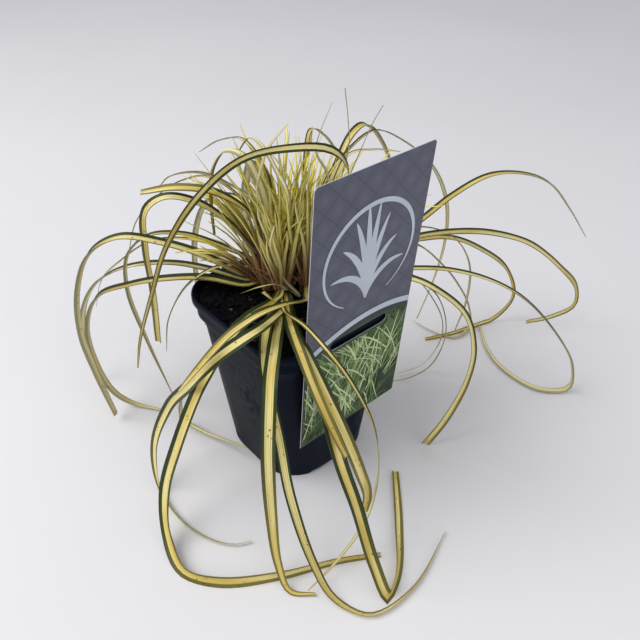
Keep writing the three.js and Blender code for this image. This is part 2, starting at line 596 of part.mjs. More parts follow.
addPiece(model, "pot", potSolid(), POT_PLASTIC);
addPiece(model, "potting_soil", soilSolid(SHOOTS), SOIL);
const label = addPiece(model, "plant_label", labelSolid(), LABEL_CARD);
label.position.copy(LABEL_SPOT);
label.rotation.set(
  THREE.MathUtils.degToRad(LABEL_LEAN),
  THREE.MathUtils.degToRad(LABEL_ROLL),
  THREE.MathUtils.degToRad(LABEL_YAW),
  "ZXY",
);
for (const shoot of SHOOTS) {
  addPiece(clump, shoot.name, shootSolid(shoot), shoot.ring === 0 ? INNER_LEAF : LEAF);
}

export default model;
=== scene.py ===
# %% [markdown]
# # A striped sedge in a square nursery pot
#
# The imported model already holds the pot, the soil, the label and eight leafy shoots as plain solids in
# their right places. This lesson gives each of them its fine form and its finish. It works in metres, in
# the model's own frame: the origin is the middle of the pot's base and Z points up. The millimetre tables
# further down repeat the model's own sizes, so that every fine piece stays where its solid is.

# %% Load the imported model
import math

import bpy
import numpy as np
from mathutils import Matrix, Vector


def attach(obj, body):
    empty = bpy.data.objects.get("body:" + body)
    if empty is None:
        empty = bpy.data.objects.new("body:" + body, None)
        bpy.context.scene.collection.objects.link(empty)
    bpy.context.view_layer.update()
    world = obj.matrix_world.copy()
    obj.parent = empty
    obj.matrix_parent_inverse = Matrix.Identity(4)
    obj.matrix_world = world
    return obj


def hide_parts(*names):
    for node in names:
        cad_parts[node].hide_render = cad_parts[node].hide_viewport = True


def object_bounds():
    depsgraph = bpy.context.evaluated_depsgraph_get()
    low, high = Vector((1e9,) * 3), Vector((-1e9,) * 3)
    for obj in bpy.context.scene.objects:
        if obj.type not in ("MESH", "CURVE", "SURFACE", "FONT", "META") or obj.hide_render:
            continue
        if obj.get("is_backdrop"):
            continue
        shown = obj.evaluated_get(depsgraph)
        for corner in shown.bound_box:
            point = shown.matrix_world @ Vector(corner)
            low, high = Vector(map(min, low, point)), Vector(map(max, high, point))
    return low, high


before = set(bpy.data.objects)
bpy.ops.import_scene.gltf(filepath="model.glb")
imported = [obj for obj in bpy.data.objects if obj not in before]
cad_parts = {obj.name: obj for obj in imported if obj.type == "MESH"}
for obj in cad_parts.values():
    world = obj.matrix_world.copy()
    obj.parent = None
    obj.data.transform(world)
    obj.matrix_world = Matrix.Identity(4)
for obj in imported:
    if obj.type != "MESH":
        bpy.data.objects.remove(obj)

MM = 0.001
CAD_LOW, CAD_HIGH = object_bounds()
print("nodes:", ", ".join(sorted(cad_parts)))
print("model from", tuple(round(v, 4) for v in CAD_LOW), "to", tuple(round(v, 4) for v in CAD_HIGH))

# %% [markdown]
# ## Camera
#
# A product picture of a low pot is taken from above the rim, here about 37 degrees above the horizon, so
# that the soil and the spread of the leaves both show. The camera looks along a direction given by its
# turn and its dip, and a lens of 38 mm on a 36 mm sensor keeps the perspective of a small camera held
# less than 40 cm away.

# %% Place the camera
EYE = Vector((-0.1784, -0.2287, 0.2994))
EYE_TURN = math.radians(40.63)
EYE_DIP = math.radians(36.93)

camera_data = bpy.data.cameras.new("camera")
camera_data.sensor_width = 36.0
camera_data.lens = 38.25
camera_data.clip_start = 0.01
camera_data.clip_end = 30.0
camera = bpy.data.objects.new("camera", camera_data)
bpy.context.scene.collection.objects.link(camera)
looking = Vector((
    math.sin(EYE_TURN) * math.cos(EYE_DIP),
    math.cos(EYE_TURN) * math.cos(EYE_DIP),
    -math.sin(EYE_DIP),
))
camera.location = EYE
camera.rotation_mode = "QUATERNION"
camera.rotation_quaternion = looking.to_track_quat("-Z", "Y")
bpy.context.scene.camera = camera
print("camera at", tuple(round(v, 3) for v in camera.location))

# %% [markdown]
# ## Shader helpers
#
# A material is a small tree of nodes. Writing each node out takes many lines, so a few helpers add one
# node, fill its inputs and hand back its output. An input is filled with a number or with another node's
# output, and the helper links or sets it to suit.

# %% Node helpers
def add_node(tree, kind, inputs=None, **settings):
    """Adds one node of that kind, applies its settings and fills its named or numbered inputs."""
    node = tree.nodes.new(kind)
    for key, value in settings.items():
        setattr(node, key, value)
    for key, value in (inputs or {}).items():
        if isinstance(value, bpy.types.NodeSocket):
            tree.links.new(value, node.inputs[key])
        else:
            node.inputs[key].default_value = value
    return node


def calc(tree, operation, *values):
    """One sum: the output of a Math node with that operation on one, two or three values."""
    return add_node(tree, "ShaderNodeMath", dict(enumerate(values)), operation=operation).outputs[0]


def step(tree, value, low, high, start=0.0, end=1.0):
    """A soft step: start below low, end above high, and a smooth rise between them."""
    sockets = {"Value": value, "From Min": low, "From Max": high, "To Min": start, "To Max": end}
    return add_node(tree, "ShaderNodeMapRange", sockets, interpolation_type="SMOOTHSTEP").outputs[0]


def mix(tree, share, first, second):
    """Two colours mixed: the first where share is 0 and the second where it is 1."""
    return add_node(tree, "ShaderNodeMix", {0: share, 6: first, 7: second}, data_type="RGBA").outputs[2]


def noise(tree, vector, scale, detail=3.0, roughness=0.5):
    """Cloudy noise, 0 to 1, read at the given coordinates."""
    sockets = {"Vector": vector, "Scale": scale, "Detail": detail, "Roughness": roughness}
    return add_node(tree, "ShaderNodeTexNoise", sockets).outputs[0]


def attribute(tree, name):
    """The piece's own number of that name, as it was stored on its points."""
    return add_node(tree, "ShaderNodeAttribute", attribute_name=name).outputs["Fac"]


def own_place(tree):
    """Where a point lies on its piece, in metres: the coordinates that most textures read."""
    return add_node(tree, "ShaderNodeTexCoord").outputs["Object"]


def feed(tree, sockets, outputs):
    """Links each of the outputs to the socket of the same name."""
    for name, output in outputs.items():
        tree.links.new(output, sockets[name])


def new_material(name, roughness=0.5, specular=0.5):
    """An empty material with its Principled shader: (material, node tree, shader)."""
    material = bpy.data.materials.new(name)
    material.use_nodes = True
    tree = material.node_tree
    shader = tree.nodes["Principled BSDF"]
    shader.inputs["Roughness"].default_value = roughness
    shader.inputs["Specular IOR Level"].default_value = specular
    return material, tree, shader


def bump(tree, shader, height, strength, distance):
    """Feeds a height to the shader's normal through a Bump node."""
    node = add_node(tree, "ShaderNodeBump", {"Height": height, "Strength": strength, "Distance": distance})
    tree.links.new(node.outputs[0], shader.inputs["Normal"])


def colour(code):
    """A colour from its screen code: each part is made linear by the 2.4 power rule of screens."""
    parts = np.array([int(code[i:i + 2], 16) for i in (0, 2, 4)]) / 255.0
    linear = np.where(parts <= 0.04045, parts / 12.92, ((parts + 0.055) / 1.055) ** 2.4)
    return (*linear.tolist(), 1.0)


print("helpers ready; white reads as", colour("ffffff"))

# %% [markdown]
# ## Grain that several finishes share
#
# Plastic, card and soil all carry a fine grain and a thin, uneven dust. One node group makes both. It
# takes a position and a scale for each, and puts out the grain as a height and the dust as a mask. Each
# material gives it its own values, so the same effect never looks the same twice.

# %% Grain and dust group
def new_group(name, inputs, outputs):
    """An empty node group with sockets of the given names and kinds: (tree, its inputs, its outputs)."""
    tree = bpy.data.node_groups.new(name, "ShaderNodeTree")
    for way, sockets in (("INPUT", inputs), ("OUTPUT", outputs)):
        for socket, kind in sockets.items():
            tree.interface.new_socket(socket, in_out=way, socket_type="NodeSocket" + kind)
    return tree, tree.nodes.new("NodeGroupInput").outputs, tree.nodes.new("NodeGroupOutput").inputs


def make_grain_group():
    """Grain is high noise. Dust is the upper part of a low noise, broken up by a finer one."""
    inputs = {"Position": "Vector", "Grain Scale": "Float", "Dust Scale": "Float"}
    tree, given, made = new_group("grain and dust", inputs, {"Grain": "Float", "Dust": "Float"})
    grain = noise(tree, given["Position"], given["Grain Scale"], 4.0, 0.6)
    cloud = noise(tree, given["Position"], given["Dust Scale"], 5.0, 0.65)
    fine = noise(tree, given["Position"], calc(tree, "MULTIPLY", given["Dust Scale"], 9.0), 3.0)
    dust = calc(tree, "MULTIPLY", step(tree, cloud, 0.42, 0.75), step(tree, fine, 0.35, 0.7))
    feed(tree, made, {"Grain": grain, "Dust": dust})
    return tree


GRAIN = make_grain_group()


def grain_in(tree, position, grain_scale, dust_scale):
    """The shared group placed in one material: (grain, dust)."""
    sockets = {"Position": position, "Grain Scale": grain_scale, "Dust Scale": dust_scale}
    made = add_node(tree, "ShaderNodeGroup", sockets, node_tree=GRAIN).outputs
    return made["Grain"], made["Dust"]


print("group:", GRAIN.name, [s.name for s in GRAIN.interface.items_tree])

# %% [markdown]
# ## Floor and light
#
# The plant stands on a plain pale floor. A wide soft lamp above and a little behind its left side gives
# the even light of an overcast window, and a weaker lamp in front and a pale world fill the shadows. The
# floor is a stage: it isn't part of the object.

# %% Floor, lamps and world
FLOOR_HALF = 6.0
LIT_SPOT = (0, 0, 0.08)

floor_mesh = bpy.data.meshes.new("floor")
floor_corners = [(x * FLOOR_HALF, y * FLOOR_HALF, 0.0) for x, y in ((-1, -1), (1, -1), (1, 1), (-1, 1))]
floor_mesh.from_pydata(floor_corners, [], [(0, 1, 2, 3)])
floor = bpy.data.objects.new("floor", floor_mesh)
bpy.context.scene.collection.objects.link(floor)
floor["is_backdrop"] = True

floor_paint, floor_tree, floor_shader = new_material("pale floor", roughness=0.7, specular=0.25)
floor_cloud = noise(floor_tree, own_place(floor_tree), 3.0, 4.0)
floor_tone = mix(floor_tree, floor_cloud, colour("d9d8db"), colour("e2e1e4"))
feed(floor_tree, floor_shader.inputs, {"Base Color": floor_tone})
floor_mesh.materials.append(floor_paint)


def soft_lamp(name, place, target, size, power, tint):
    """A square lamp at a place, turned towards a target."""
    data = bpy.data.lights.new(name, "AREA")
    data.shape = "SQUARE"
    data.size = size
    data.energy = power
    data.color = tint
    lamp = bpy.data.objects.new(name, data)
    lamp.location = place
    lamp.rotation_mode = "QUATERNION"
    lamp.rotation_quaternion = (Vector(target) - Vector(place)).to_track_quat("-Z", "Y")
    bpy.context.scene.collection.objects.link(lamp)


soft_lamp("window lamp", (-0.83, 0.43, 1.25), LIT_SPOT, size=1.1, power=17.0, tint=(1.0, 0.985, 0.96))
soft_lamp("fill lamp", (-0.29, -1.36, 0.9), LIT_SPOT, size=1.4, power=6.0, tint=(1.0, 0.985, 0.97))

world = bpy.data.worlds.new("pale room")
world.use_nodes = True
sky = world.node_tree.nodes["Background"].inputs
sky["Color"].default_value = (0.86, 0.88, 0.93, 1.0)
sky["Strength"].default_value = 0.62
bpy.context.scene.world = world
bpy.context.scene.view_settings.view_transform = "Standard"

# %% [markdown]
# ## Meshes from arrays
#
# Every piece below is a surface worked out with numpy: its points are a grid of two parameters, such as
# "how far round" and "how far up". A grid of points needs only one rule for its faces. A closed tube is
# such a grid with an end face at its first and last ring, and the pot, the soil, the crumbs, the stems and
# the blades are all closed tubes. One more helper makes the mesh and stores the numbers that the materials
# read.

# %% Mesh helpers
def grid_faces(rows, columns, closed):
    """The four-sided faces of a grid of points, row by row; closed joins the last column to the first."""
    row = np.arange(rows - 1)[:, None]
    column = np.arange(columns if closed else columns - 1)[None, :]
    across = (column + 1) % columns
    corners = (row * columns + column, row * columns + across,
               (row + 1) * columns + across, (row + 1) * columns + column)
    return np.stack(corners, axis=-1).reshape(-1, 4)


def grid_of(x, y, z):
    """A grid of points from three arrays, each spread over the others' rows and columns."""
    return np.stack(np.broadcast_arrays(x, y, z), axis=-1)


def enclosed(points, faces):
    """The signed volume inside four-sided faces: a sixth of each triangle's triple product, summed."""
    a, b, c, d = (points[faces[:, i]] for i in range(4))
    triples = np.einsum("ij,ij->i", a, np.cross(b, c)) + np.einsum("ij,ij->i", a, np.cross(c, d))
    return triples.sum() / 6.0


def closed_tubes(points):
    """Tubes with closed ends, from an array (tubes, rings, points round, 3) in millimetres.

    Returns points in metres and faces: every tube's sides, then its two ends, all turned outwards."""
    count, rings, columns = points.shape[:3]
    points = points.reshape(-1, 3) * MM
    starts = (np.arange(count) * rings * columns)[:, None, None]
    sides = (grid_faces(rings, columns, True)[None] + starts).reshape(-1, 4)
    caps = np.array([np.arange(columns)[::-1], np.arange(columns) + (rings - 1) * columns])
    ends = (caps[None] + starts).reshape(-1, columns)
    if enclosed(points, sides) < 0:
        sides, ends = sides[:, ::-1], ends[:, ::-1]
    return points, sides.tolist() + ends.tolist()


def make_piece(name, points, faces, materials, numbers=None, soft_angle=None):
    """Makes one object at the origin from points in metres and lists of faces, with numbers on its points."""
    mesh = bpy.data.meshes.new(name)
    mesh.from_pydata(np.asarray(points).tolist(), [], [list(map(int, f)) for f in faces])
    mesh.polygons.foreach_set("use_smooth", np.ones(len(mesh.polygons), bool))
    for key, values in (numbers or {}).items():
        layer = mesh.attributes.new(key, "FLOAT", "POINT")
        layer.data.foreach_set("value", np.asarray(values, np.float32).ravel())
    if soft_angle is not None:
        mesh.set_sharp_from_angle(angle=math.radians(soft_angle))
    for material in materials:
        mesh.materials.append(material)
    mesh.validate()
    piece = bpy.data.objects.new(name, mesh)
    bpy.context.scene.collection.objects.link(piece)
    print(f"{name}: {len(mesh.vertices)} points, {len(mesh.polygons)} faces")
    return piece


def chance(seed):
    """An endless row of numbers from 0 to 1: each state is 1664525 times the last plus 1013904223."""
    state = seed
    while True:
        state = (state * 1664525 + 1013904223) % 4294967296
        yield state / 4294967296


LATTICE = 64


def smooth(share):
    """The smooth step of a share from 0 to 1: share squared x (3 - 2 share), level at both ends."""
    return share * share * (3 - 2 * share)


def value_noise(x, y, cell, seed):
    """Smooth noise from -1 to 1: random numbers on a square lattice, blended by a smooth step."""
    table = np.random.RandomState(seed).uniform(-1, 1, (LATTICE, LATTICE))
    u, v = x / cell, y / cell
    i, j = np.floor(u).astype(int), np.floor(v).astype(int)
    s, t = smooth(u - i), smooth(v - j)
    i, j, next_i, next_j = i % LATTICE, j % LATTICE, (i + 1) % LATTICE, (j + 1) % LATTICE
    low = table[i, j] * (1 - s) + table[next_i, j] * s
    high = table[i, next_j] * (1 - s) + table[next_i, next_j] * s
    return low * (1 - t) + high * t


print("first draws of seed 11:", [round(v, 3) for _, v in zip(range(3), chance(11))])

# %% [markdown]
# ## The pot
#
# A nursery pot is formed or moulded from thin dark plastic: a square tube with round corners that
# widens upwards, with a broader band under its rim and feet at its corners. Box modelling with bevels
# would do, but a closed profile carried round a rounded square is simpler and stays smooth. A rounded
# square is a small square moved out by a circle at each corner, so a point on it is (half side minus
# radius) times one direction plus radius times another. Those two directions are made once, and every
# ring of the pot is then a mix of them.

# %% The rounded square
CORNER_STEPS = 14
SIDE_STEPS = 16


def square_directions():
    """For each point round the square: its corner's signs, and its direction on that corner's circle."""
    signs, circle = [], []
    corner_signs = np.array([(1, 1), (-1, 1), (-1, -1), (1, -1)], float)
    for corner in range(4):
        turn = np.pi / 2 * (corner + np.linspace(0, 1, CORNER_STEPS))
        signs.append(np.repeat(corner_signs[corner][None], CORNER_STEPS, axis=0))
        circle.append(np.stack([np.cos(turn), np.sin(turn)], axis=1))
        share = np.linspace(0, 1, SIDE_STEPS + 2)[1:-1, None]
        ahead = corner_signs[(corner + 1) % 4]
        signs.append((1 - share) * corner_signs[corner] + share * ahead)
        circle.append(np.repeat(circle[-1][-1][None], SIDE_STEPS, axis=0))
    return np.concatenate(signs), np.concatenate(circle)


SQUARE_SIGNS, SQUARE_CIRCLE = square_directions()


def square_rings(halves, corners, heights):
    """Rings of a rounded square: (half side - corner radius) x signs + corner radius x circle."""
    halves, corners = np.asarray(halves, float)[:, None, None], np.asarray(corners, float)[:, None, None]
    flat = (halves - corners) * SQUARE_SIGNS[None] + corners * SQUARE_CIRCLE[None]
    up = np.broadcast_to(np.asarray(heights, float)[:, None, None], (*flat.shape[:2], 1))
    return np.concatenate([flat, up], axis=2)


print("points round the pot:", len(SQUARE_SIGNS))

# %% Pot finish
pot_plastic, pot_tree, pot_shader = new_material("black nursery plastic", specular=0.09)
pot_shader.inputs["Specular Tint"].default_value = (0.28, 0.52, 1.0, 1.0)
pot_place = own_place(pot_tree)
pot_grain, pot_dust = grain_in(pot_tree, pot_place, grain_scale=1400.0, dust_scale=26.0)
pot_cloud = noise(pot_tree, pot_place, 18.0, 3.0)
pot_black = mix(pot_tree, pot_cloud, colour("05080f"), colour("0a101e"))
pot_height = add_node(pot_tree, "ShaderNodeSeparateXYZ", {0: pot_place}).outputs["Z"]
pot_splash = calc(pot_tree, "MULTIPLY", pot_dust, step(pot_tree, pot_height, 0.0, 0.06, 0.6, 0.3))
pot_colour = mix(pot_tree, pot_splash, pot_black, colour("181b25"))
pot_gloss = step(pot_tree, calc(pot_tree, "ADD", pot_dust, pot_cloud), 0.2, 1.5, 0.36, 0.72)
feed(pot_tree, pot_shader.inputs, {"Base Color": pot_colour, "Roughness": pot_gloss})
bump(pot_tree, pot_shader, pot_grain, strength=0.25, distance=0.0002)
print("material:", pot_plastic.name)

# %% The pot's profile
POT_HEIGHT = 100.0
WALL_TOP = 86.5
BASE_HALF, WALL_HALF = 33.3, 39.4
BASE_CORNER, WALL_CORNER = 24.3, 17.5
LIP_HALF, LIP_CORNER = 43.6, 19.5
WALL = 1.3
FLOOR_TOP = 3.0
RECESS = 1.4
FOOT_WIDTH = 3.0
FOOT_GAP = 17.0
NOTCH_SLOPE = 2.0
NOTCH_HEIGHT = 2.5
SHRINK = np.array([0.8, 0.5, 0.25, 0.02])

# The foot as (out from the wall, height), and the bands above the wall as (half side, height).
FOOT_EDGE = [(-FOOT_WIDTH, RECESS), (-FOOT_WIDTH + 0.1, 0.15), (-FOOT_WIDTH + 0.4, 0.0), (-0.6, 0.0),
             (-0.15, 0.2), (0.0, 0.8)]
OUTER_BANDS = [(39.45, 86.1), (39.75, 86.6), (41.35, 87.6), (41.65, 87.95), (41.7, 88.4), (41.7, 91.5),
               (41.7, 94.5), (41.85, 94.85), (43.35, 95.55), (43.6, 96.0), (43.6, 98.9), (43.4, 99.6),
               (42.95, POT_HEIGHT)]
INNER_BANDS = [(42.55, 99.9), (42.3, 99.5), (42.3, 96.7), (42.1, 96.3), (40.6, 95.5), (40.4, 95.1),
               (40.4, 89.1), (40.2, 88.6), (38.3, 87.4), (38.1, 87.0)]


def wall_at(height):
    """Half side and corner radius of the plain wall: both change in a straight line up to its top."""
    up = np.asarray(height, float) / WALL_TOP
    return BASE_HALF + (WALL_HALF - BASE_HALF) * up, BASE_CORNER + (WALL_CORNER - BASE_CORNER) * up


def wall_rows(heights, out):
    """Rows (half side, corner radius, height) of the plain wall, moved out by out."""
    half, corner = wall_at(heights)
    return np.column_stack([half + out, corner + out, heights])


def band_rows(pairs):
    """Rows of the bands above the wall: the corner radius follows the half side in a straight line."""
    half, height = np.array(pairs, float).T
    corner = np.interp(half, [WALL_HALF - WALL, LIP_HALF], [WALL_CORNER - WALL, LIP_CORNER])
    return np.column_stack([half, corner, height])


def pot_profile():
    """(half side, corner radius, height) from the foot's inner edge, up the outside and down the inside."""
    foot = [wall_rows([z], out) for out, z in FOOT_EDGE]
    outside = [wall_rows(np.linspace(4, WALL_TOP - 1.2, 16), 0.0), band_rows(OUTER_BANDS)]
    inside = [band_rows(INNER_BANDS), wall_rows(np.linspace(80, 6, 8), -WALL)]
    return np.concatenate(foot + outside + inside + [wall_rows([FLOOR_TOP], -WALL - 1.0)])


def pot_surface():
    """The profile carried round the square, closed across the base by rings that shrink to the middle.

    Between the feet the lowest points rise by the recess x (1 - height / notch height), with a smooth
    step at each foot."""
    half, corner, height = pot_profile().T
    walls = square_rings(half, corner, height)
    under = square_rings(half[0] * SHRINK[::-1], corner[0] * SHRINK[::-1], np.full(len(SHRINK), RECESS))
    over = square_rings(half[-1] * SHRINK, corner[-1] * SHRINK, np.full(len(SHRINK), FLOOR_TOP))
    rings = np.concatenate([under, walls, over])
    low = np.clip(1.0 - rings[..., 2] / NOTCH_HEIGHT, 0, 1)
    along = np.min(np.abs(rings[..., :2]), axis=2)
    side = np.max(np.abs(rings[..., :2]), axis=2) > half[0] - FOOT_WIDTH
    notch = np.clip((FOOT_GAP + NOTCH_SLOPE / 2 - along) / NOTCH_SLOPE, 0, 1)
    rings[..., 2] += RECESS * low * side * smooth(notch)
    return rings


POT_SOFT_ANGLE = 40
pot = make_piece("nursery_pot", *closed_tubes(pot_surface()[None]), [pot_plastic], soft_angle=POT_SOFT_ANGLE)

# %% [markdown]
# ### Drain holes and the middle pad
#
# The base is lifted between its feet, with a pad in its middle that stands on the bench and a ring of
# holes for the water. The holes are cut by a Boolean, because a hole is the one thing that a grid of
# points can't hold by itself.

# %% Cut the drain holes
PAD_RADIUS = 8.0
HOLE_COUNT = 8
HOLE_RING = 19.0
HOLE_RADIUS = 3.0


def posts(places, radius, low, high, sides=28):
    """Upright round posts: a circle at two heights at each place, closed at both ends."""
    turn = np.arange(sides) / sides * 2 * np.pi
    x, y = np.asarray(places).T[:, :, None, None]
    heights = np.array([low, high])[:, None]
    return closed_tubes(grid_of(radius * np.cos(turn) + x, radius * np.sin(turn) + y, heights))


def cut_or_join(piece, places, radius, low, high, operation):
    """Applies one Boolean of posts to a piece and removes the posts."""
    tool = make_piece("post_tool", *posts(places, radius, low, high), [pot_plastic])
    change = piece.modifiers.new("posts", "BOOLEAN")
    change.operation = operation
    change.solver = "EXACT"
    change.object = tool
    with bpy.context.temp_override(object=piece, active_object=piece, selected_objects=[piece]):
        bpy.ops.object.modifier_apply(modifier=change.name)
    bpy.data.objects.remove(tool)


hole_turns = (np.arange(HOLE_COUNT) + 0.5) / HOLE_COUNT * 2 * np.pi
hole_places = np.stack([HOLE_RING * np.cos(hole_turns), HOLE_RING * np.sin(hole_turns)], axis=1)
cut_or_join(pot, [(0.0, 0.0)], PAD_RADIUS, low=0.0, high=2.0, operation="UNION")
cut_or_join(pot, hole_places, HOLE_RADIUS, low=-1.0, high=FLOOR_TOP + 1.0, operation="DIFFERENCE")
pot.data.set_sharp_from_angle(angle=math.radians(POT_SOFT_ANGLE))
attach(pot, "root")
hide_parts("pot")
print("pot faces after the cuts:", len(pot.data.polygons))

# %% [markdown]
# ## The soil
#
# Compost is dark, crumbly and never level. A smooth sheet with a noise texture looks like felt, so the
# sheet is bent by noise at three sizes, and 1,500 separate crumbs and 150 splinters of bark lie on it. A
# crumb is a rough ball of 26 faces, squashed and turned by chance.

# %% Soil finish
def soil_material(name, dark, light, roughness):
    """Two earth tones mixed by noise, with a little dust, and fine grain as bump."""
    material, tree, shader = new_material(name, roughness=roughness, specular=0.1)
    place = own_place(tree)
    grain, dust = grain_in(tree, place, grain_scale=2600.0, dust_scale=60.0)
    cloud = noise(tree, place, 300.0, 5.0, 0.7)
    earth = mix(tree, step(tree, cloud, 0.35, 0.75), colour(dark), colour(light))
    dusty = mix(tree, calc(tree, "MULTIPLY", dust, 0.1), earth, colour("50423c"))
    feed(tree, shader.inputs, {"Base Color": dusty})
    bump(tree, shader, calc(tree, "ADD", grain, cloud), strength=0.7, distance=0.0006)
    return material


compost = soil_material("dark compost", "020208", "0c0a11", roughness=0.92)
bark = soil_material("bark splinters", "2c1a10", "8a6a4a", roughness=0.8)
print("materials:", compost.name, bark.name)

# %% The sheet of soil
CROWN = np.array([6.0, 11.9])
CROWN_TURN = math.radians(8.9)
SOIL_LEVEL = 93.0
SOIL_GAP = 0.35
SOIL_TOP_HALF, SOIL_TOP_EDGE = 40.0, 89.2
SOIL_RINGS = 60
HEAP_RISE, HEAP_REACH = 2.2, 24
BANK_RISE, BANK_START, BANK_RUN = 3.6, 8, 56
ROUGHNESS = ((1.0, 14, 3), (0.7, 5, 4), (0.45, 1.6, 5))
OVER_LEDGE, LEDGE_RUN, LEDGE_SPREAD = 96.2, 0.7, 0.044


def soil_height(x, y):
    """Level, plus a low heap at the crown, a bank up to one corner, and noise of 14, 5 and 1.6 mm cells."""
    heap = HEAP_RISE * np.exp(-((np.hypot(x - CROWN[0], y - CROWN[1]) / HEAP_REACH) ** 2))
    bank = BANK_RISE * smooth(np.clip((y - x - BANK_START) / BANK_RUN, 0, 1))
    rough = sum(high * value_noise(x, y, cell, seed) for high, cell, seed in ROUGHNESS)
    return SOIL_LEVEL + heap + bank + rough


def soil_surface():
    """A wall down the inside of the pot, then rings that shrink to the middle at the soil's height.

    Where the bank is higher than the ledge under the lip, the outermost ring spreads out over the ledge."""
    inset = WALL + SOIL_GAP
    side = np.concatenate([wall_rows([4.0, 40.0, WALL_TOP - 0.2], -inset),
                           band_rows([(SOIL_TOP_HALF, SOIL_TOP_EDGE)])])
    shrinking = side[-1] * np.linspace(1, 0.02, SOIL_RINGS)[:, None]
    rings = square_rings(*np.concatenate([side, shrinking]).T)
    top = rings[len(side):]
    top[..., 2] = soil_height(top[..., 0], top[..., 1])
    spread = np.clip((top[0, :, 2] - OVER_LEDGE) / LEDGE_RUN, 0, 1)[:, None]
    top[0, :, :2] *= 1 + LEDGE_SPREAD * spread
    return rings


soil = make_piece("compost_bed", *closed_tubes(soil_surface()[None]), [compost])
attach(soil, "root")
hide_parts("potting_soil")

# %% Crumbs and splinters
BALL_RINGS, BALL_SIDES = 5, 6
CRUMB_REACH = 38.6
CORNER_INSET, CORNER_REACH, PULLED_IN = 22, 16.5, 0.78


def rotated(first, second, angle):
    """Two coordinates turned by an angle: (first cos - second sin, first sin + second cos)."""
    c, s = np.cos(angle), np.sin(angle)
    return first * c - second * s, first * s + second * c


def crumb_lumps(count, seed, smallest, largest, stretch):
    """Rough balls on the soil: five rings of six points, pushed in and out by chance, squashed and turned.

    A ball that would fall outside the pot's round corner is pulled in towards the middle."""
    draw = np.random.RandomState(seed)
    turn = np.arange(BALL_SIDES) / BALL_SIDES * 2 * np.pi
    rise = (np.linspace(-0.5, 0.5, BALL_RINGS) * np.pi * 0.92)[:, None]
    ball = grid_of(np.cos(rise) * np.cos(turn), np.cos(rise) * np.sin(turn), np.sin(rise)).reshape(-1, 3)
    size = draw.uniform(0, 1, count) ** 2 * (largest - smallest) + smallest
    shape = draw.uniform(0.6, 1.0, (count, 1, 3)) * np.array([stretch, 1.0, 0.75])
    rough = draw.uniform(0.72, 1.2, (count, len(ball), 1))
    lumps = ball[None] * rough * shape * size[:, None, None]
    x, y = rotated(lumps[..., 0], lumps[..., 1], draw.uniform(0, 2 * np.pi, count)[:, None])
    px, py = draw.uniform(-CRUMB_REACH, CRUMB_REACH, count), draw.uniform(-CRUMB_REACH, CRUMB_REACH, count)
    past_x, past_y = (np.maximum(np.abs(p) - CORNER_INSET, 0) for p in (px, py))
    pull = np.where(np.hypot(past_x, past_y) > CORNER_REACH, PULLED_IN, 1.0)
    px, py = px * pull, py * pull
    z = lumps[..., 2] + (soil_height(px, py) + size * 0.15)[:, None]
    points = grid_of(x + px[:, None], y + py[:, None], z)
    return closed_tubes(points.reshape(count, BALL_RINGS, BALL_SIDES, 3))


balls = crumb_lumps(1500, seed=21, smallest=0.35, largest=2.4, stretch=1.0)
slivers = crumb_lumps(150, seed=22, smallest=0.3, largest=0.9, stretch=3.6)
crumbs = make_piece("soil_crumbs", *balls, [compost])
splinters = make_piece("bark_splinters", *slivers, [bark])
for loose in (crumbs, splinters):
    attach(loose, "root")

# %% [markdown]
# ## The finish of a leaf
#
# A striped sedge leaf has a broad cream band down its middle and a dark green margin on each side. Fine
# veins run along it, its foot is brown-red where the old sheaths clasp it, and its tip dries to tan. An
# image could hold all this, but a stripe that follows the leaf is easier as a rule: each point of a leaf
# carries how far across the blade it is, how far along, its distance from the root, whether it is on the
# underside, and one number that is the same over the whole leaf, so that no two leaves are quite alike.
# The rule is a node group, because the broad leaves and the thin inner ones both use it.

# %% The stripe group
LEAF_NUMBERS = ("across", "along", "from_root", "leaf", "under")
LEAF_COLOURS = ("cream", "gold", "green", "dark green")


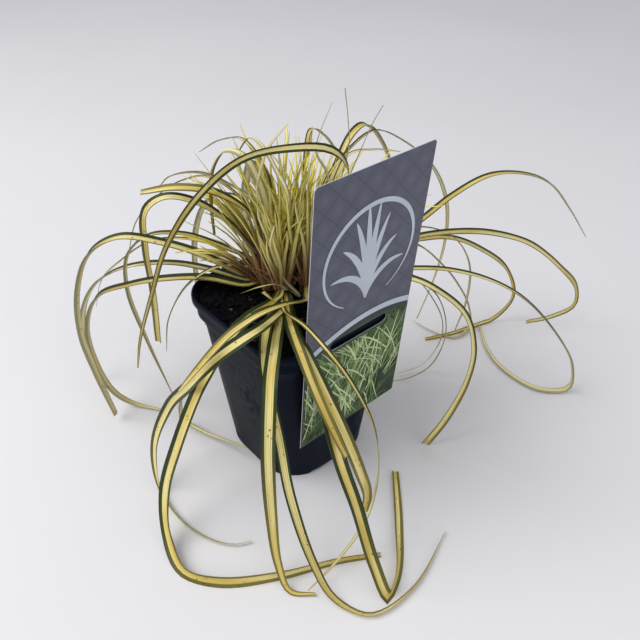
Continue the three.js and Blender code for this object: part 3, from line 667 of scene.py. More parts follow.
def make_stripe_group():
    """Cream where the distance across is below the edge, green above it, then veins, specks and ends."""
    inputs = dict.fromkeys(LEAF_NUMBERS + ("edge", "sheath"), "Float") | dict.fromkeys(LEAF_COLOURS, "Color")
    outputs = {"Color": "Color", "Roughness": "Float", "Height": "Float"}
    tree, given, made = new_group("leaf stripes", inputs, outputs)
    across, along, far, leaf, under = (given[name] for name in LEAF_NUMBERS)

    def at(x, y, z):
        """A place for a texture: across times x, distance from the root times y, and the leaf times z."""
        parts = (calc(tree, "MULTIPLY", *pair) for pair in ((across, x), (far, y), (leaf, z)))
        return add_node(tree, "ShaderNodeCombineXYZ", dict(zip("XYZ", parts))).outputs[0]

    streak = noise(tree, at(5.0, 0.03, 90.0), 1.0, 3.0)
    patch = noise(tree, at(0.6, 0.022, 53.0), 1.0, 2.0)
    wander = calc(tree, "MULTIPLY_ADD", streak, 0.2, -0.1)
    place = calc(tree, "ADD", calc(tree, "ABSOLUTE", across), wander)
    other = calc(tree, "FRACT", calc(tree, "MULTIPLY", leaf, 7.31))
    third = calc(tree, "FRACT", calc(tree, "MULTIPLY", leaf, 23.7))
    edge = calc(tree, "MULTIPLY_ADD", other, 0.2, calc(tree, "SUBTRACT", given["edge"], 0.1))
    beyond = calc(tree, "SUBTRACT", place, edge)
    margin = step(tree, beyond, -0.05, 0.05)

    line_place = calc(tree, "MULTIPLY_ADD", third, 0.3, 0.2)
    off_line = calc(tree, "ABSOLUTE", calc(tree, "SUBTRACT", place, line_place))
    lined = step(tree, other, 0.35, 0.6, 0.0, 0.5)
    line = calc(tree, "MULTIPLY", step(tree, off_line, 0.01, 0.09, 1.0, 0.0), lined)

    vein = calc(tree, "MULTIPLY_ADD", calc(tree, "COSINE", calc(tree, "MULTIPLY", across, 42.0)), 0.5, 0.5)
    fibre = noise(tree, at(13.0, 0.012, 71.0), 1.0, 2.0)
    ripe = calc(tree, "MULTIPLY_ADD", third, 0.22, calc(tree, "SUBTRACT", patch, 0.11))
    middle = mix(tree, step(tree, ripe, 0.3, 0.62), given["gold"], given["cream"])
    middle = mix(tree, step(tree, fibre, 0.42, 0.62, 0.0, 0.45), middle, given["gold"])
    middle = mix(tree, calc(tree, "MULTIPLY", vein, 0.12), middle, given["gold"])
    olive = mix(tree, 0.5, given["gold"], given["green"])
    middle = mix(tree, step(tree, far, 20.0, 90.0, 0.24, 0.0), middle, olive)
    rim = mix(tree, streak, given["dark green"], given["green"])
    outer = step(tree, calc(tree, "ABSOLUTE", across), 0.84, 0.98, 0.0, 0.6)
    rim = mix(tree, outer, rim, given["dark green"])
    rim = mix(tree, step(tree, along, 0.5, 0.85, 0.0, 0.55), rim, olive)
    striped = mix(tree, calc(tree, "MAXIMUM", margin, line), middle, rim)

    # Painted light: the underside is mixed towards a pale cream, which stands in for light shining through
    # the thin leaf.
    lit_underside = mix(tree, 0.55, striped, colour("ebe5bf"))
    striped = mix(tree, calc(tree, "MULTIPLY", under, 0.65), striped, lit_underside)

    cells = add_node(tree, "ShaderNodeTexVoronoi", {"Vector": at(1.6, 0.3, 31.0), "Scale": 1.0})
    clumps = step(tree, noise(tree, at(0.8, 0.09, 17.0), 1.0, 1.0), 0.47, 0.6)
    speck = calc(tree, "MULTIPLY", step(tree, cells.outputs["Distance"], 0.09, 0.24, 1.0, 0.0), clumps)
    striped = mix(tree, calc(tree, "MULTIPLY", speck, 0.85), striped, colour("4a3016"))

    tip = calc(tree, "MULTIPLY", step(tree, along, 0.97, 0.995), step(tree, third, 0.3, 0.6))
    striped = mix(tree, calc(tree, "MULTIPLY", tip, 0.5), striped, colour("a98c58"))
    climb = calc(tree, "DIVIDE", calc(tree, "MULTIPLY_ADD", streak, 10.0, far), given["sheath"])
    foot = step(tree, climb, 0.45, 1.25, 1.0, 0.0)
    husk = mix(tree, step(tree, streak, 0.35, 0.65), colour("6a3224"), colour("b58a68"))
    striped = mix(tree, calc(tree, "MULTIPLY", foot, 0.9), striped, husk)

    dry = calc(tree, "ADD", calc(tree, "MULTIPLY", foot, 0.25), calc(tree, "MULTIPLY", under, 0.12))
    rough = calc(tree, "ADD", calc(tree, "MULTIPLY_ADD", streak, 0.18, 0.34), dry)
    feed(tree, made, {"Color": striped, "Roughness": rough, "Height": calc(tree, "ADD", vein, streak)})
    return tree


STRIPES = make_stripe_group()


def leaf_material(name, codes, edge, sheath):
    """A leaf finish from the stripe group: a screen code for each of the leaf colours, the cream band's
    width as a share of the blade's, and the sheath's height in mm."""
    material, tree, shader = new_material(name, specular=0.28)
    sockets = {number: attribute(tree, number) for number in LEAF_NUMBERS}
    sockets.update(zip(LEAF_COLOURS, map(colour, codes)), edge=edge, sheath=sheath)
    made = add_node(tree, "ShaderNodeGroup", sockets, node_tree=STRIPES).outputs
    feed(tree, shader.inputs, {"Base Color": made["Color"], "Roughness": made["Roughness"]})
    bump(tree, shader, made["Height"], strength=0.3, distance=0.00025)
    return material


striped_codes = ("efe4a2", "cab056", "38491a", "141f05")
inner_codes = ("fcf2a2", "eed752", "909a3c", "4a5420")
striped_leaf = leaf_material("striped leaf", striped_codes, edge=0.51, sheath=16.0)
inner_leaf = leaf_material("inner leaf", inner_codes, edge=0.64, sheath=42.0)
print("group:", STRIPES.name, len(STRIPES.nodes), "nodes")

# %% [markdown]
# ## Where the long leaves run
#
# Each long leaf leaves its shoot's foot, arches out and comes down, often to the floor. Its route is a
# short list of places in millimetres, the same as in the solid model: measured from the middle of the
# clump's crown, which itself stands a little turned in the pot. The lists are grouped by the shoot that
# the leaves grow from. A curve through the places is drawn by the Catmull-Rom rule, which passes
# through every place and never kinks.

# %% Routes of the long leaves
# Each leaf: its width, the share of the width at its end, its twist and its places. A twist is the degrees
# reached at the tip, or a list of stops (share of the length, degrees).
FRONT_LEAVES = [
    (5.8, 0.2, [(0.15, 0), (0.35, 45), (0.55, 75), (0.7, 60), (0.85, 40)], [(-26.7, -21.1, 106),
        (-44.9, -32.3, 115), (-56, -35.7, 117.5), (-65.5, -34.7, 116.5), (-74.3, -28.9, 110),
        (-80.3, -20.9, 99), (-81.2, -9.8, 84), (-81, 10, 58), (-87, 21, 26), (-93, 14, 4), (-98, -9, 1.6),
        (-96, -30, 1.6), (-90, -42, 1.6), (-83, -47, 1.6)]),
    (7.2, 0.5, [(0.3, 5), (0.5, 15), (0.6, -5), (0.7, -50), (0.9, -75)], [(-26.9, -15.3, 107),
        (-45.3, -18.8, 110.5), (-56.5, -19.5, 108.5), (-66.6, -18.8, 102), (-74.3, -17.3, 93),
        (-80, -15.4, 84), (-93, -12, 58), (-103, -8, 28), (-111, -15, 9), (-118, -36, 1.6),
        (-110, -53, 1.6), (-89, -72, 1.6), (-63, -89, 1.6), (-47, -102, 1.6)]),
    (3.2, 0.3, 0, [(-20, -20, 105), (-40, -19, 110), (-59, -16, 106), (-71, -2, 80), (-69, 14, 54),
        (-59, 32, 24), (-51, 42, 5), (-49, 26, 4), (-46, 6, 7), (-47, -8, 13)]),
    (6.7, 0.2, 0, [(-34, -25, 104), (-52, -40, 109), (-69, -53, 105), (-76, -58, 92), (-80, -60, 70),
        (-84, -64, 38), (-89, -72, 12), (-91, -81, 2), (-84, -91, 1.6)]),
    (5, 0.2, 75, [(-41, -25, 107), (-57, -38, 108), (-68, -50, 102), (-73, -61, 76), (-77, -70, 50),
        (-80, -86, 18), (-81, -100, 4), (-75, -117, 1.6), (-51, -124, 1.6), (-14, -119, 1.6)]),
    (6.6, 0.55, 0, [(-33, -31, 107), (-54.4, -60, 112), (-58.7, -73.2, 101), (-61.7, -86.7, 71.5),
        (-61, -96, 48), (-62, -108, 18), (-63, -119, 2), (-50, -115, 1.6), (-27, -99, 1.6), (2, -76, 1.6)]),
    (4.9, 0.65, 0, [(-38.8, -36.5, 113), (-59.8, -61.1, 123), (-66.1, -76.6, 110), (-65.2, -87.8, 89),
        (-63.4, -91.1, 80)]),
    (5.8, 0.8, -60, [(-45, -46, 111), (-57, -62, 119), (-62, -75, 112), (-60, -86, 90), (-54, -92, 62),
        (-46, -91, 38), (-45, -89, 22)]),
    (2.6, 0.3, 60, [(-24, -18, 108), (-39.2, -33.8, 116.5), (-55, -61, 130), (-61, -76, 131), (-58, -87, 118),
        (-50, -95, 90), (-46, -96, 62), (-48, -95, 36), (-55, -93, 20), (-69, -90, 8), (-86, -88, 4)]),
    (2.2, 0.3, 0, [(-16, -14, 107), (-22, -13, 113), (-26, -5, 110), (-27, 9, 100)]),
    (2, 0.3, 0, [(-9, -16, 100), (-16, -13, 112), (-24, -15, 128), (-30, -18, 142), (-28, -19, 150)]),
    (2, 0.3, 0, [(-14, -1, 118), (-17, 1, 143), (-20, -1, 159), (-24, -8, 172), (-22, -11, 182),
        (-10, -12, 190)]),
    (2.8, 1, 0, [(-24, -17, 109), (-31.6, -19.4, 112), (-32.3, -13.3, 114)]),
]
LEFT_LEAVES = [
    (7.4, 0.6, -15, [(-19, 16, 106), (-31, 32, 117), (-44, 48, 124), (-57, 63, 127), (-68, 76, 118),
        (-75, 85, 94), (-79, 86, 68), (-77, 85, 38), (-74, 79, 4)]),
    (5.4, 0.8, -15, [(-15, 16, 100), (-25, 34, 104), (-33, 58, 102), (-44, 84, 94), (-52, 105, 79),
        (-58, 118, 56), (-60, 123, 30), (-58, 120, 8)]),
    (6.8, 0.2, -15, [(-21, 11, 102), (-33, 26, 106), (-45, 44, 104), (-55, 67, 95), (-66, 83, 86),
        (-72, 91, 64), (-73, 90, 40), (-68, 86, 14), (-60, 80, 2), (-52, 62, 1.6)]),
    (3, 0.3, 0, [(-16, 10, 110), (-28, 22, 112), (-40, 34, 102), (-48, 45, 79), (-51, 48, 56)]),
]
BACK_LEFT_LEAVES = [
    (7.2, 0.6, [(0.4, 5), (0.6, 50), (1, 65)], [(-12, 15, 121), (-18, 25, 134), (-26, 38, 143),
        (-35, 50, 145), (-42, 59, 137), (-44, 62, 114), (-44, 62, 86), (-45, 64, 50)]),
    (5, 0.2, 0, [(-10, 18, 110), (-20, 33, 118), (-29, 48, 122), (-39, 65, 119), (-46, 76, 107),
        (-49, 79, 84), (-46, 74, 48), (-41, 65, 6)]),
    (3.2, 0.3, 30, [(-9, 33, 108), (-14, 61, 107), (-21, 90, 98), (-28, 115, 78), (-33, 135, 57),
        (-35, 146, 32)]),
    (5.4, 0.6, [(0.6, 20), (1, 40)], [(-9, 14, 135), (-18, 29, 147), (-28, 48, 148), (-37, 68, 142)]),
    (4.8, 0.2, -15, [(-10, 11, 145), (-19, 22, 156), (-26, 33, 160), (-34, 45, 157), (-37, 51, 150)]),
    (2.6, 0.3, 0, [(-6, 22, 138), (-11, 42, 149), (-15, 63, 142), (-19, 86, 124), (-22, 101, 106),
        (-24, 110, 85)]),
    (4.2, 0.5, -15, [(-5, 8, 137), (-6, 11, 152), (-9, 18, 166), (-11, 28, 167), (-14, 36, 156),
        (-15, 39, 136), (-15, 39, 118)]),
]
BACK_LEAVES = [
    (3, 0.3, 0, [(4, 18, 156), (6, 34, 166), (9, 54, 160), (14, 80, 144)]),
    (5.4, 0.35, 0, [(15, 24, 130), (27, 44, 142), (41, 66, 134), (53, 86, 106), (59, 96, 68), (59, 96, 30),
        (55, 90, 3)]),
    (5, 0.3, 0, [(9, 28, 122), (13, 54, 126), (18, 82, 112), (21, 102, 80), (22, 108, 42), (19, 100, 8)]),
    (4.4, 0.3, 0, [(23, 20, 112), (47, 36, 114), (73, 54, 98), (91, 66, 64), (97, 70, 26), (91, 80, 2),
        (75, 88, 1.6)]),
]
BACK_RIGHT_LEAVES = [
    (2.6, 0.3, 0, [(18, 4, 150), (25, 6, 172), (43, 12, 163), (62, 18, 145), (77, 22, 128)]),
    (5.6, 0.2, -30, [(21, -2, 130), (31, -4, 150), (43, -6, 168), (53, -7, 171), (67, -8, 158),
        (81, -8, 132), (89, -6, 100)]),
    (2.6, 0.4, 75, [(25, -4, 148), (39, -8, 162), (57, -10, 167), (79, -13, 156), (113, -16, 127),
        (129, -18, 98), (132, -18, 69), (125, -17, 43), (110, -16, 18)]),
    (5, 0.3, 0, [(31, 8, 112), (63, 14, 116), (95, 20, 98), (119, 25, 62), (125, 26, 24), (115, 24, 2)]),
]
RIGHT_LEAVES = [
    (5, 0.4, -15, [(37, -22, 104), (71, -34, 117), (89, -42, 128), (111, -51, 135), (135, -60, 131),
        (159, -69, 119), (181, -78, 95), (200, -86, 70)]),
    (5.4, 0.5, [(0.15, 0), (0.5, -20), (0.6, -35), (0.7, -45), (0.8, -70), (0.9, -110)], [(37, -22, 108),
        (69, -36, 109), (91, -46, 106), (117, -57, 98), (147, -70, 82), (175, -83, 56), (193, -91, 34),
        (195, -92, 18), (181, -83, 12), (165, -72, 11)]),
    (4.8, 0.6, [(0.15, 0), (0.3, -15), (0.5, -40), (0.6, -50), (0.8, -100), (1, -90)], [(45, -18, 104),
        (80, -28, 99), (107, -35, 91), (134, -43, 74), (163, -52, 47), (174, -55, 18), (161, -47, 2),
        (129, -33, 1.6), (113, -23, 1.6)]),
    (3.6, 0.2, -30, [(49, -16, 106), (84, -26, 93), (105, -31, 73), (123, -35, 51), (139, -39, 24),
        (143, -40, 4), (128, -37, 1.6), (124, -20, 1.6), (126, -4, 1.6)]),
    (4.8, 0.2, 0, [(31, -32, 104), (45, -47, 104), (59, -60, 102), (77, -76, 94), (95, -92, 79),
        (112, -108, 54), (126, -120, 25), (128, -121, 3), (117, -106, 1.6), (120, -80, 1.6), (132, -61, 1.6),
        (152, -43, 1.6)]),
    (2.6, 0.3, -60, [(35, -24, 105), (58, -39, 91), (70, -45, 75), (83, -50, 49), (87, -48, 28),
        (84, -39, 6), (70, -29, 1.6)]),
    (2.8, 0.2, -90, [(36, -28, 104), (54, -42, 92), (68, -52, 77), (77, -56, 53), (80, -54, 32),
        (78, -47, 12), (71, -37, 1.6), (61, -30, 1.6)]),
    (2.2, 0.35, 0, [(43, -20, 110), (77, -30, 109), (105, -39, 93), (120, -44, 69), (128, -42, 36),
        (134, -34, 3)]),
    (1.6, 0.4, 0, [(24, -19, 168), (21, -21, 185), (12, -26, 203)]),
    (1.6, 0.4, 0, [(26, -25, 170), (23, -33, 185), (20, -41, 197)]),
    (3, 0.3, 0, [(26, -17, 165), (39, -24, 166), (53, -30, 162)]),
]
LABEL_SIDE_LEAVES = [
    (5.8, 1, -60, [(15, -40, 110), (28, -58, 111), (34, -72, 106), (39, -86, 95), (40, -93, 76),
        (38, -93, 54), (34, -86, 24), (29, -78, 2)]),
    (1.6, 0.4, 0, [(1, -26, 165), (-5, -24, 180), (2, -27, 200)]),
    (4.8, 0.3, 20, [(-8, -20, 104), (-22.4, -32.4, 113), (-41.5, -36.2, 122.5), (-53.1, -34, 123.3),
        (-60.7, -30.8, 120.5), (-68.4, -28.5, 117.3), (-75.8, -25.5, 111.3), (-81.9, -22.3, 104.3),
        (-86.6, -17.5, 95.5), (-88.2, -12.4, 87.5)]),
]
HEART_LEAVES = [
    (3.8, 0.2, [(0.12, 180), (0.22, 140), (0.4, 155), (0.6, 140), (0.7, 155), (1, 140)], [(10, -18, 128),
        (12.2, -27.3, 150), (4.7, -34.5, 172), (-8, -34, 184), (-22, -24, 186), (-33, -7, 180),
        (-43, 14, 159), (-53, 30, 131), (-58, 41, 102), (-62, 54, 68), (-62, 63, 42)]),
    (2.6, 0.3, 0, [(-3, -4, 151), (-2, 4, 161), (-2, 13, 171), (-1, 22, 172), (0, 34, 159)]),
]

# Each shoot: its node, its direction from the crown's middle in degrees, the ring it stands on, its seed,
# its long leaves, and for its inner leaves their number, how far they spread to each side, and the ranges
# of lean, bend and length.
SHOOTS = [
    ("front_shoot", -150, 12, 11, FRONT_LEAVES, 13, 19, (12, 24), (6, 24), (46, 76)),
    ("left_shoot", 150, 12, 23, LEFT_LEAVES, 13, 19, (17, 43), (20, 80), (44, 66)),
    ("back_left_shoot", 100, 12, 37, BACK_LEFT_LEAVES, 13, 19, (17, 43), (20, 80), (50, 84)),
    ("back_shoot", 55, 12, 41, BACK_LEAVES, 15, 19, (17, 43), (20, 80), (50, 84)),
    ("back_right_shoot", 10, 12, 59, BACK_RIGHT_LEAVES, 14, 19, (17, 43), (20, 80), (50, 84)),
    ("right_shoot", -35, 12, 61, RIGHT_LEAVES, 13, 19, (17, 43), (20, 80), (50, 84)),
    ("label_side_shoot", -85, 12, 73, LABEL_SIDE_LEAVES, 11, 19, (12, 20), (6, 20), (55, 82)),
    ("heart_shoot", 60, 0, 89, HEART_LEAVES, 18, 180, (2, 13), (6, 40), (50, 84)),
]
print("long leaves:", sum(len(s[4]) for s in SHOOTS))
print("inner leaves in the solids:", sum(s[5] for s in SHOOTS))

# %% [markdown]
# ## From a route to a blade
#
# A blade is a cross-section carried along its route. Two things make it look like a leaf and not like a
# ribbon: the section is a shallow V with a thin edge, and the blade's level direction turns slowly with
# the curve. The side direction is carried from each ring to the next, and leans a little towards level
# at every step, as a real leaf turns its face up to the light.

# %% Curve, frame and width
ROOT_HEIGHT = 3.0
NECK_HEIGHT = 9.0
CLEARANCE = 0.2
TWIST_START = 0.38


def turned_by(twist, along):
    """Degrees that a leaf has turned about its own line: the first stop's, plus a smooth step to each next.

    Plain degrees start from nothing at the twist start and are reached at the tip."""
    stops = twist if isinstance(twist, list) else [(TWIST_START, 0), (1, twist)]
    turned = np.zeros_like(along) + stops[0][1]
    for (start, low), (end, high) in zip(stops, stops[1:]):
        turned = turned + (high - low) * smooth(np.clip((along - start) / (end - start), 0, 1))
    return turned


def smooth_path(places, count):
    """Points spaced evenly along a curve through the places, and its length.

    Each stretch is a cubic that leaves and arrives at the speeds of the centripetal Catmull-Rom rule,
    where the time between two places is the square root of their distance."""
    places = np.asarray(places, float)
    row = np.vstack([2 * places[0] - places[1], places, 2 * places[-1] - places[-2]])
    gap = np.sqrt(np.linalg.norm(np.diff(row, axis=0), axis=1))[:, None]
    a, b, c, d = row[:-3], row[1:-2], row[2:-1], row[3:]
    g, h, k = gap[:-2], gap[1:-1], gap[2:]
    leave = ((b - a) / g - (c - a) / (g + h) + (c - b) / h) * h
    arrive = ((c - b) / h - (d - b) / (h + k) + (d - c) / k) * h
    t = np.linspace(0, 1, 25)[:-1, None, None]
    cubic = (2 * t**3 - 3 * t**2 + 1) * b + (t**3 - 2 * t**2 + t) * leave
    cubic = cubic + (3 * t**2 - 2 * t**3) * c + (t**3 - t**2) * arrive
    line = np.vstack([cubic.transpose(1, 0, 2).reshape(-1, 3), places[-1]])
    far = np.concatenate([[0], np.cumsum(np.linalg.norm(np.diff(line, axis=0), axis=1))])
    even = np.linspace(0, far[-1], count)
    return np.stack([np.interp(even, far, line[:, i]) for i in range(3)], axis=1), far[-1]


def unit(vectors):
    """The same directions with length 1."""
    return vectors / np.maximum(np.linalg.norm(vectors, axis=-1, keepdims=True), 1e-9)


def carried_frames(paths, lean):
    """Side and upper directions at each ring of many paths at once, shapes (leaves, rings, 3).

    The level side is the path's direction crossed with up. Each ring keeps the side of the ring before,
    plus lean times the level side, made square to the path again."""
    ahead = unit(np.gradient(paths, axis=1))
    level = np.cross(ahead, [0.0, 0.0, 1.0])
    side = np.empty_like(paths)
    side[:, 0] = unit(level[:, 0] + 1e-6)
    for ring in range(1, paths.shape[1]):
        now = side[:, ring - 1]
        toward = np.where((now * level[:, ring]).sum(-1, keepdims=True) < 0, -1.0, 1.0)
        now = now + lean * toward * level[:, ring]
        side[:, ring] = unit(now - ahead[:, ring] * (now * ahead[:, ring]).sum(-1, keepdims=True))
    return side, np.cross(side, ahead)


FOOT_SHARE, FOOT_LENGTH = 0.55, 0.16
TAPER_START = 0.55


def blade_width(along, width, end):
    """A narrow foot, the full width past a sixth of the length, and a squared taper over the last 45 %."""
    foot = FOOT_SHARE + (1 - FOOT_SHARE) * np.minimum(1, along / FOOT_LENGTH)
    taper = np.maximum(0, (along - TAPER_START) / (1 - TAPER_START))
    return width * foot * (1 - taper * taper * (1 - end))


print("a trial curve is", round(smooth_path([(0, 0, 0), (0, 30, 40), (0, 80, 20)], 9)[1], 1), "mm long")

# %% [markdown]
# ## Many blades in one mesh
#
# The long leaves of a shoot go into one mesh, and its inner leaves, old sheaths and stem into a second, one
# mesh for each leaf finish. Their rings form one array with the shape (leaves, rings, points round the
# section), so a single sum places every point. The broad leaves get a section of 16 points, and the
# hundreds of thin inner ones only 4.

# %% Sections and the blade builder
# Each section point: across from -1 to 1, depth below the edges in tenths of the width, underside or not.
WIDE_SECTION = np.array([
    (-1.0, 0.0, 0), (-0.84, -0.4, 0), (-0.5, -1.1, 0), (-0.1, -1.8, 0), (0.0, -1.9, 0), (0.1, -1.8, 0),
    (0.5, -1.1, 0), (0.84, -0.4, 0), (1.0, 0.0, 0), (1.0, -0.3, 1), (0.84, -0.8, 1), (0.5, -1.6, 1),
    (0.0, -2.5, 1), (-0.5, -1.6, 1), (-0.84, -0.8, 1), (-1.0, -0.3, 1),
])
THIN_SECTION = np.array([(-1.0, 0.0, 0), (0.0, -1.7, 0), (1.0, 0.0, 0), (0.0, -3.1, 1)])


def leaf_numbers(shape, *values):
    """The five numbers of the leaf finish, in their order, each spread over that shape and laid in a row."""
    return {name: np.broadcast_to(value, shape).reshape(-1) for name, value in zip(LEAF_NUMBERS, values)}


def blades(paths, lengths, widths, section, turns, seed, lean, roll):
    """Every blade's section carried along its path.

    point = path + side x (across x half width) + upper x depth, with side and upper turned by two angles:
    the leaf's own turns, in degrees for each ring, and a slow wave along the leaf that grows to roll. A
    ring that would sink into the floor is lifted onto it. Returns points, faces and the numbers for the
    leaf finish."""
    leaves, rings = paths.shape[:2]
    draw = np.random.RandomState(seed)
    along = np.linspace(0, 1, rings)[None, :]
    side, over = carried_frames(paths, lean)
    wave = draw.uniform(0, 2 * np.pi, (leaves, 1))
    rolled = roll * along * np.sin(wave + along * draw.uniform(3, 8, (leaves, 1)))
    side, over = rotated(side, over, -(np.radians(turns) + rolled)[..., None])
    half = widths[:, :, None, None] / 2
    across, depth, under = section.T
    points = (paths[:, :, None] + side[:, :, None] * across[None, None, :, None] * half
              + over[:, :, None] * depth[None, None, :, None] * half * 0.2)
    points[..., 2] += np.maximum(CLEARANCE - points[..., 2].min(axis=2, keepdims=True), 0)
    from_root = (along * np.asarray(lengths)[:, None])[..., None]
    own = draw.uniform(0, 1, leaves)[:, None, None]
    numbers = leaf_numbers(points.shape[:3], across, along[..., None], from_root, own, under)
    return *closed_tubes(points), numbers


def gathered(parts):
    """Several (points, faces, numbers) put together as one."""
    points, faces, numbers = zip(*parts)
    starts = np.cumsum([0] + [len(some) for some in points])
    shifted = [[i + start for i in face] for some, start in zip(faces, starts) for face in some]
    joined = {key: np.concatenate([some[key] for some in numbers]) for key in LEAF_NUMBERS}
    return np.concatenate(points), shifted, joined


print("section points:", len(WIDE_SECTION), "and", len(THIN_SECTION))

# %% [markdown]
# ## Inner leaves
#
# The heart of the clump is a dense bunch of thin leaves. Drawing each one by hand would be endless, so
# they follow a rule with seeded chance: each leaves the shoot's foot at its own lean, and bends over by
# its own amount. The first ones are those of the solid model, from the same seed. The same rule then goes
# on with more upright leaves, thinner than a solid can be, which close the middle of the clump.

# %% Arches by a rule
ARCH_PIECES = 4
ARCH_BASE = 2
SWAY = 0.028


def inner_draws(seed, count):
    """Six random numbers for each leaf, in the order width, turn, lean, bend, length and distance out."""
    row = chance(seed)
    return np.array([[next(row) for _ in range(6)] for _ in range(count)])


def arches(foot, heading, spread, lean, bend, length, draws, out=(0, 1.2)):
    """Arch paths, shape (leaves, rings, 3), with their lengths.

    The tilt from the vertical is lean + bend x (share of the way) to the power 1.5, and each ring lies one
    step further along that tilt. There are the solid model's own 4 steps, which are drawn finer later."""
    def within(limits, column):
        return limits[0] + (limits[1] - limits[0]) * draws[:, column]
    turn = np.radians(heading + within((-spread, spread), 1))[:, None]
    tilt = np.radians(within(lean, 2)[:, None] + within(bend, 3)[:, None]
                      * (np.arange(ARCH_PIECES) / ARCH_PIECES) ** 1.5)
    far = within(length, 4)
    pace = (far / ARCH_PIECES)[:, None]
    out = within(out, 5)[:, None]
    level = np.concatenate([out, out + np.cumsum(pace * np.sin(tilt), axis=1)], axis=1)
    rise = np.concatenate([np.zeros_like(out), np.cumsum(pace * np.cos(tilt), axis=1)], axis=1)
    x, y = foot[0] + level * np.cos(turn), foot[1] + level * np.sin(turn)
    return grid_of(x, y, SOIL_LEVEL + ARCH_BASE + rise), far


def finer(places, rings):
    """Each short row of places drawn as a smooth curve of more rings."""
    return np.stack([smooth_path(row, rings)[0] for row in places])


def waved(paths, lengths, seed):
    """Paths that sway: each point moves aside by two sine waves that grow with the 1.6 power of the way."""
    draw = np.random.RandomState(seed)
    count, rings = paths.shape[:2]
    along = np.linspace(0, 1, rings)[None, None, :, None]
    ahead = unit(np.gradient(paths, axis=1))
    level = unit(np.cross(ahead, [0.0, 0.0, 1.0]) + 1e-6)
    size = draw.normal(0, SWAY, (count, 2, 1, 1)) * np.asarray(lengths)[:, None, None, None]
    pace = draw.uniform(3.0, 8.0, (count, 2, 1, 1))
    start = draw.uniform(0, 2 * np.pi, (count, 2, 1, 1))
    sway = size * along ** 1.6 * (np.sin(start + pace * along) - np.sin(start) * (1 - along))
    return paths + level * sway[:, 0] + np.cross(level, ahead) * sway[:, 1]


print("draws for one leaf:", inner_draws(11, 1).round(3).tolist())

# %% [markdown]
# ## The foot of a shoot
#
# The leaves of a sedge clasp each other at the bottom in a firm brown-red stem, wrapped in the frayed
# remains of older sheaths. The stem is a ribbed cone. The frayed remains are short thin blades that peel
# away from it.

# %% Stems and old sheaths
STEM_RINGS, STEM_SIDES, STEM_RIBS = 9, 27, 9
STEM_RADIUS, STEM_TAPER = 4.0, 2.6
STEM_DEPTH, STEM_LENGTH = 12, 28
SHEATH_RINGS = 8
SHEATH_LEAN, SHEATH_BEND, SHEATH_LENGTH = (8, 34), (10, 80), (14, 34)
BROWN_SHARE = 0.25


def ribbed_stem(foot, seed):
    """A cone with nine low ribs, from below the soil up: radius = straight taper x (0.9 + 0.1 cos 9 turn)."""
    turn = np.arange(STEM_SIDES) / STEM_SIDES * 2 * np.pi
    rise = np.linspace(0, 1, STEM_RINGS)[:, None]
    radius = (STEM_RADIUS - STEM_TAPER * rise) * (0.9 + 0.1 * np.cos(STEM_RIBS * turn + seed))
    height = SOIL_LEVEL - STEM_DEPTH + STEM_LENGTH * rise
    grid = grid_of(foot[0] + radius * np.cos(turn), foot[1] + radius * np.sin(turn), height)
    above = np.maximum(STEM_LENGTH * rise - STEM_DEPTH - ARCH_BASE, 0)
    numbers = leaf_numbers(grid.shape[:2], np.cos(STEM_RIBS * turn), 0.0, above, (seed * 0.37) % 1.0, 0.0)
    return *closed_tubes(grid[None]), numbers


def old_sheaths(foot, heading, spread, seed, count):
    """Short shreds that stand close round the stem and curl away at their tips.

    Their distance from the root is cut to a quarter, which keeps them brown to the tip."""
    draws = np.random.RandomState(seed).uniform(0, 1, (count, 6))
    places, far = arches(foot, heading, spread, SHEATH_LEAN, SHEATH_BEND, SHEATH_LENGTH, draws)
    along = np.linspace(0, 1, SHEATH_RINGS)[None]
    widths = (0.9 + 1.3 * draws[:, :1]) * (1 - 0.75 * along)
    paths = finer(places, SHEATH_RINGS)
    points, faces, numbers = blades(paths, far, widths, THIN_SECTION, 0 * along, seed, lean=0.1, roll=0.9)
    numbers["from_root"] = numbers["from_root"] * BROWN_SHARE
    return points, faces, numbers


print("stem points:", len(ribbed_stem((0.0, 0.0), 1)[0]))

# %% [markdown]
# ## The shoots
#
# Each shoot is put together from its stem, its old sheaths, its long leaves and its inner leaves, and
# takes the place of its solid. The long leaves have 72 rings each, enough for a smooth outline on the
# tightest curl near the floor.

# %% Build the shoots
LONG_RINGS = 72
INNER_RINGS = 10
UPRIGHT_LEAVES = 13
UPRIGHT_LEAN = (2, 17)
UPRIGHT_BEND = (4, 52)
NECK_SHARE = 0.12
OLD_SHEATHS = 16
LEAF_SOFT_ANGLE = 50


def in_pot(points):
    """Points of the clump, which are measured from its crown, turned and moved to their place in the pot."""
    x, y = rotated(points[:, 0], points[:, 1], CROWN_TURN)
    return np.stack([x + CROWN[0] * MM, y + CROWN[1] * MM, points[:, 2]], axis=1)


def long_blades(foot, leaves, seed):
    """The long leaves of one shoot, from its foot through their places."""
    paths, lengths, widths = [], [], []
    along = np.linspace(0, 1, LONG_RINGS)
    for width, end, twist, places in leaves:
        neck = np.array([*foot, SOIL_LEVEL + NECK_HEIGHT])
        neck = neck + NECK_SHARE * (np.array(places[0], float) - neck)
        path, length = smooth_path([(*foot, SOIL_LEVEL + ROOT_HEIGHT), neck, *places], LONG_RINGS)
        paths.append(path)
        lengths.append(length)
        widths.append(blade_width(along, width, end))
    turns = np.array([turned_by(leaf[2], along) for leaf in leaves])
    paths, widths = np.array(paths), np.array(widths)
    return blades(paths, lengths, widths, WIDE_SECTION, turns, seed, lean=0.11, roll=0.1)


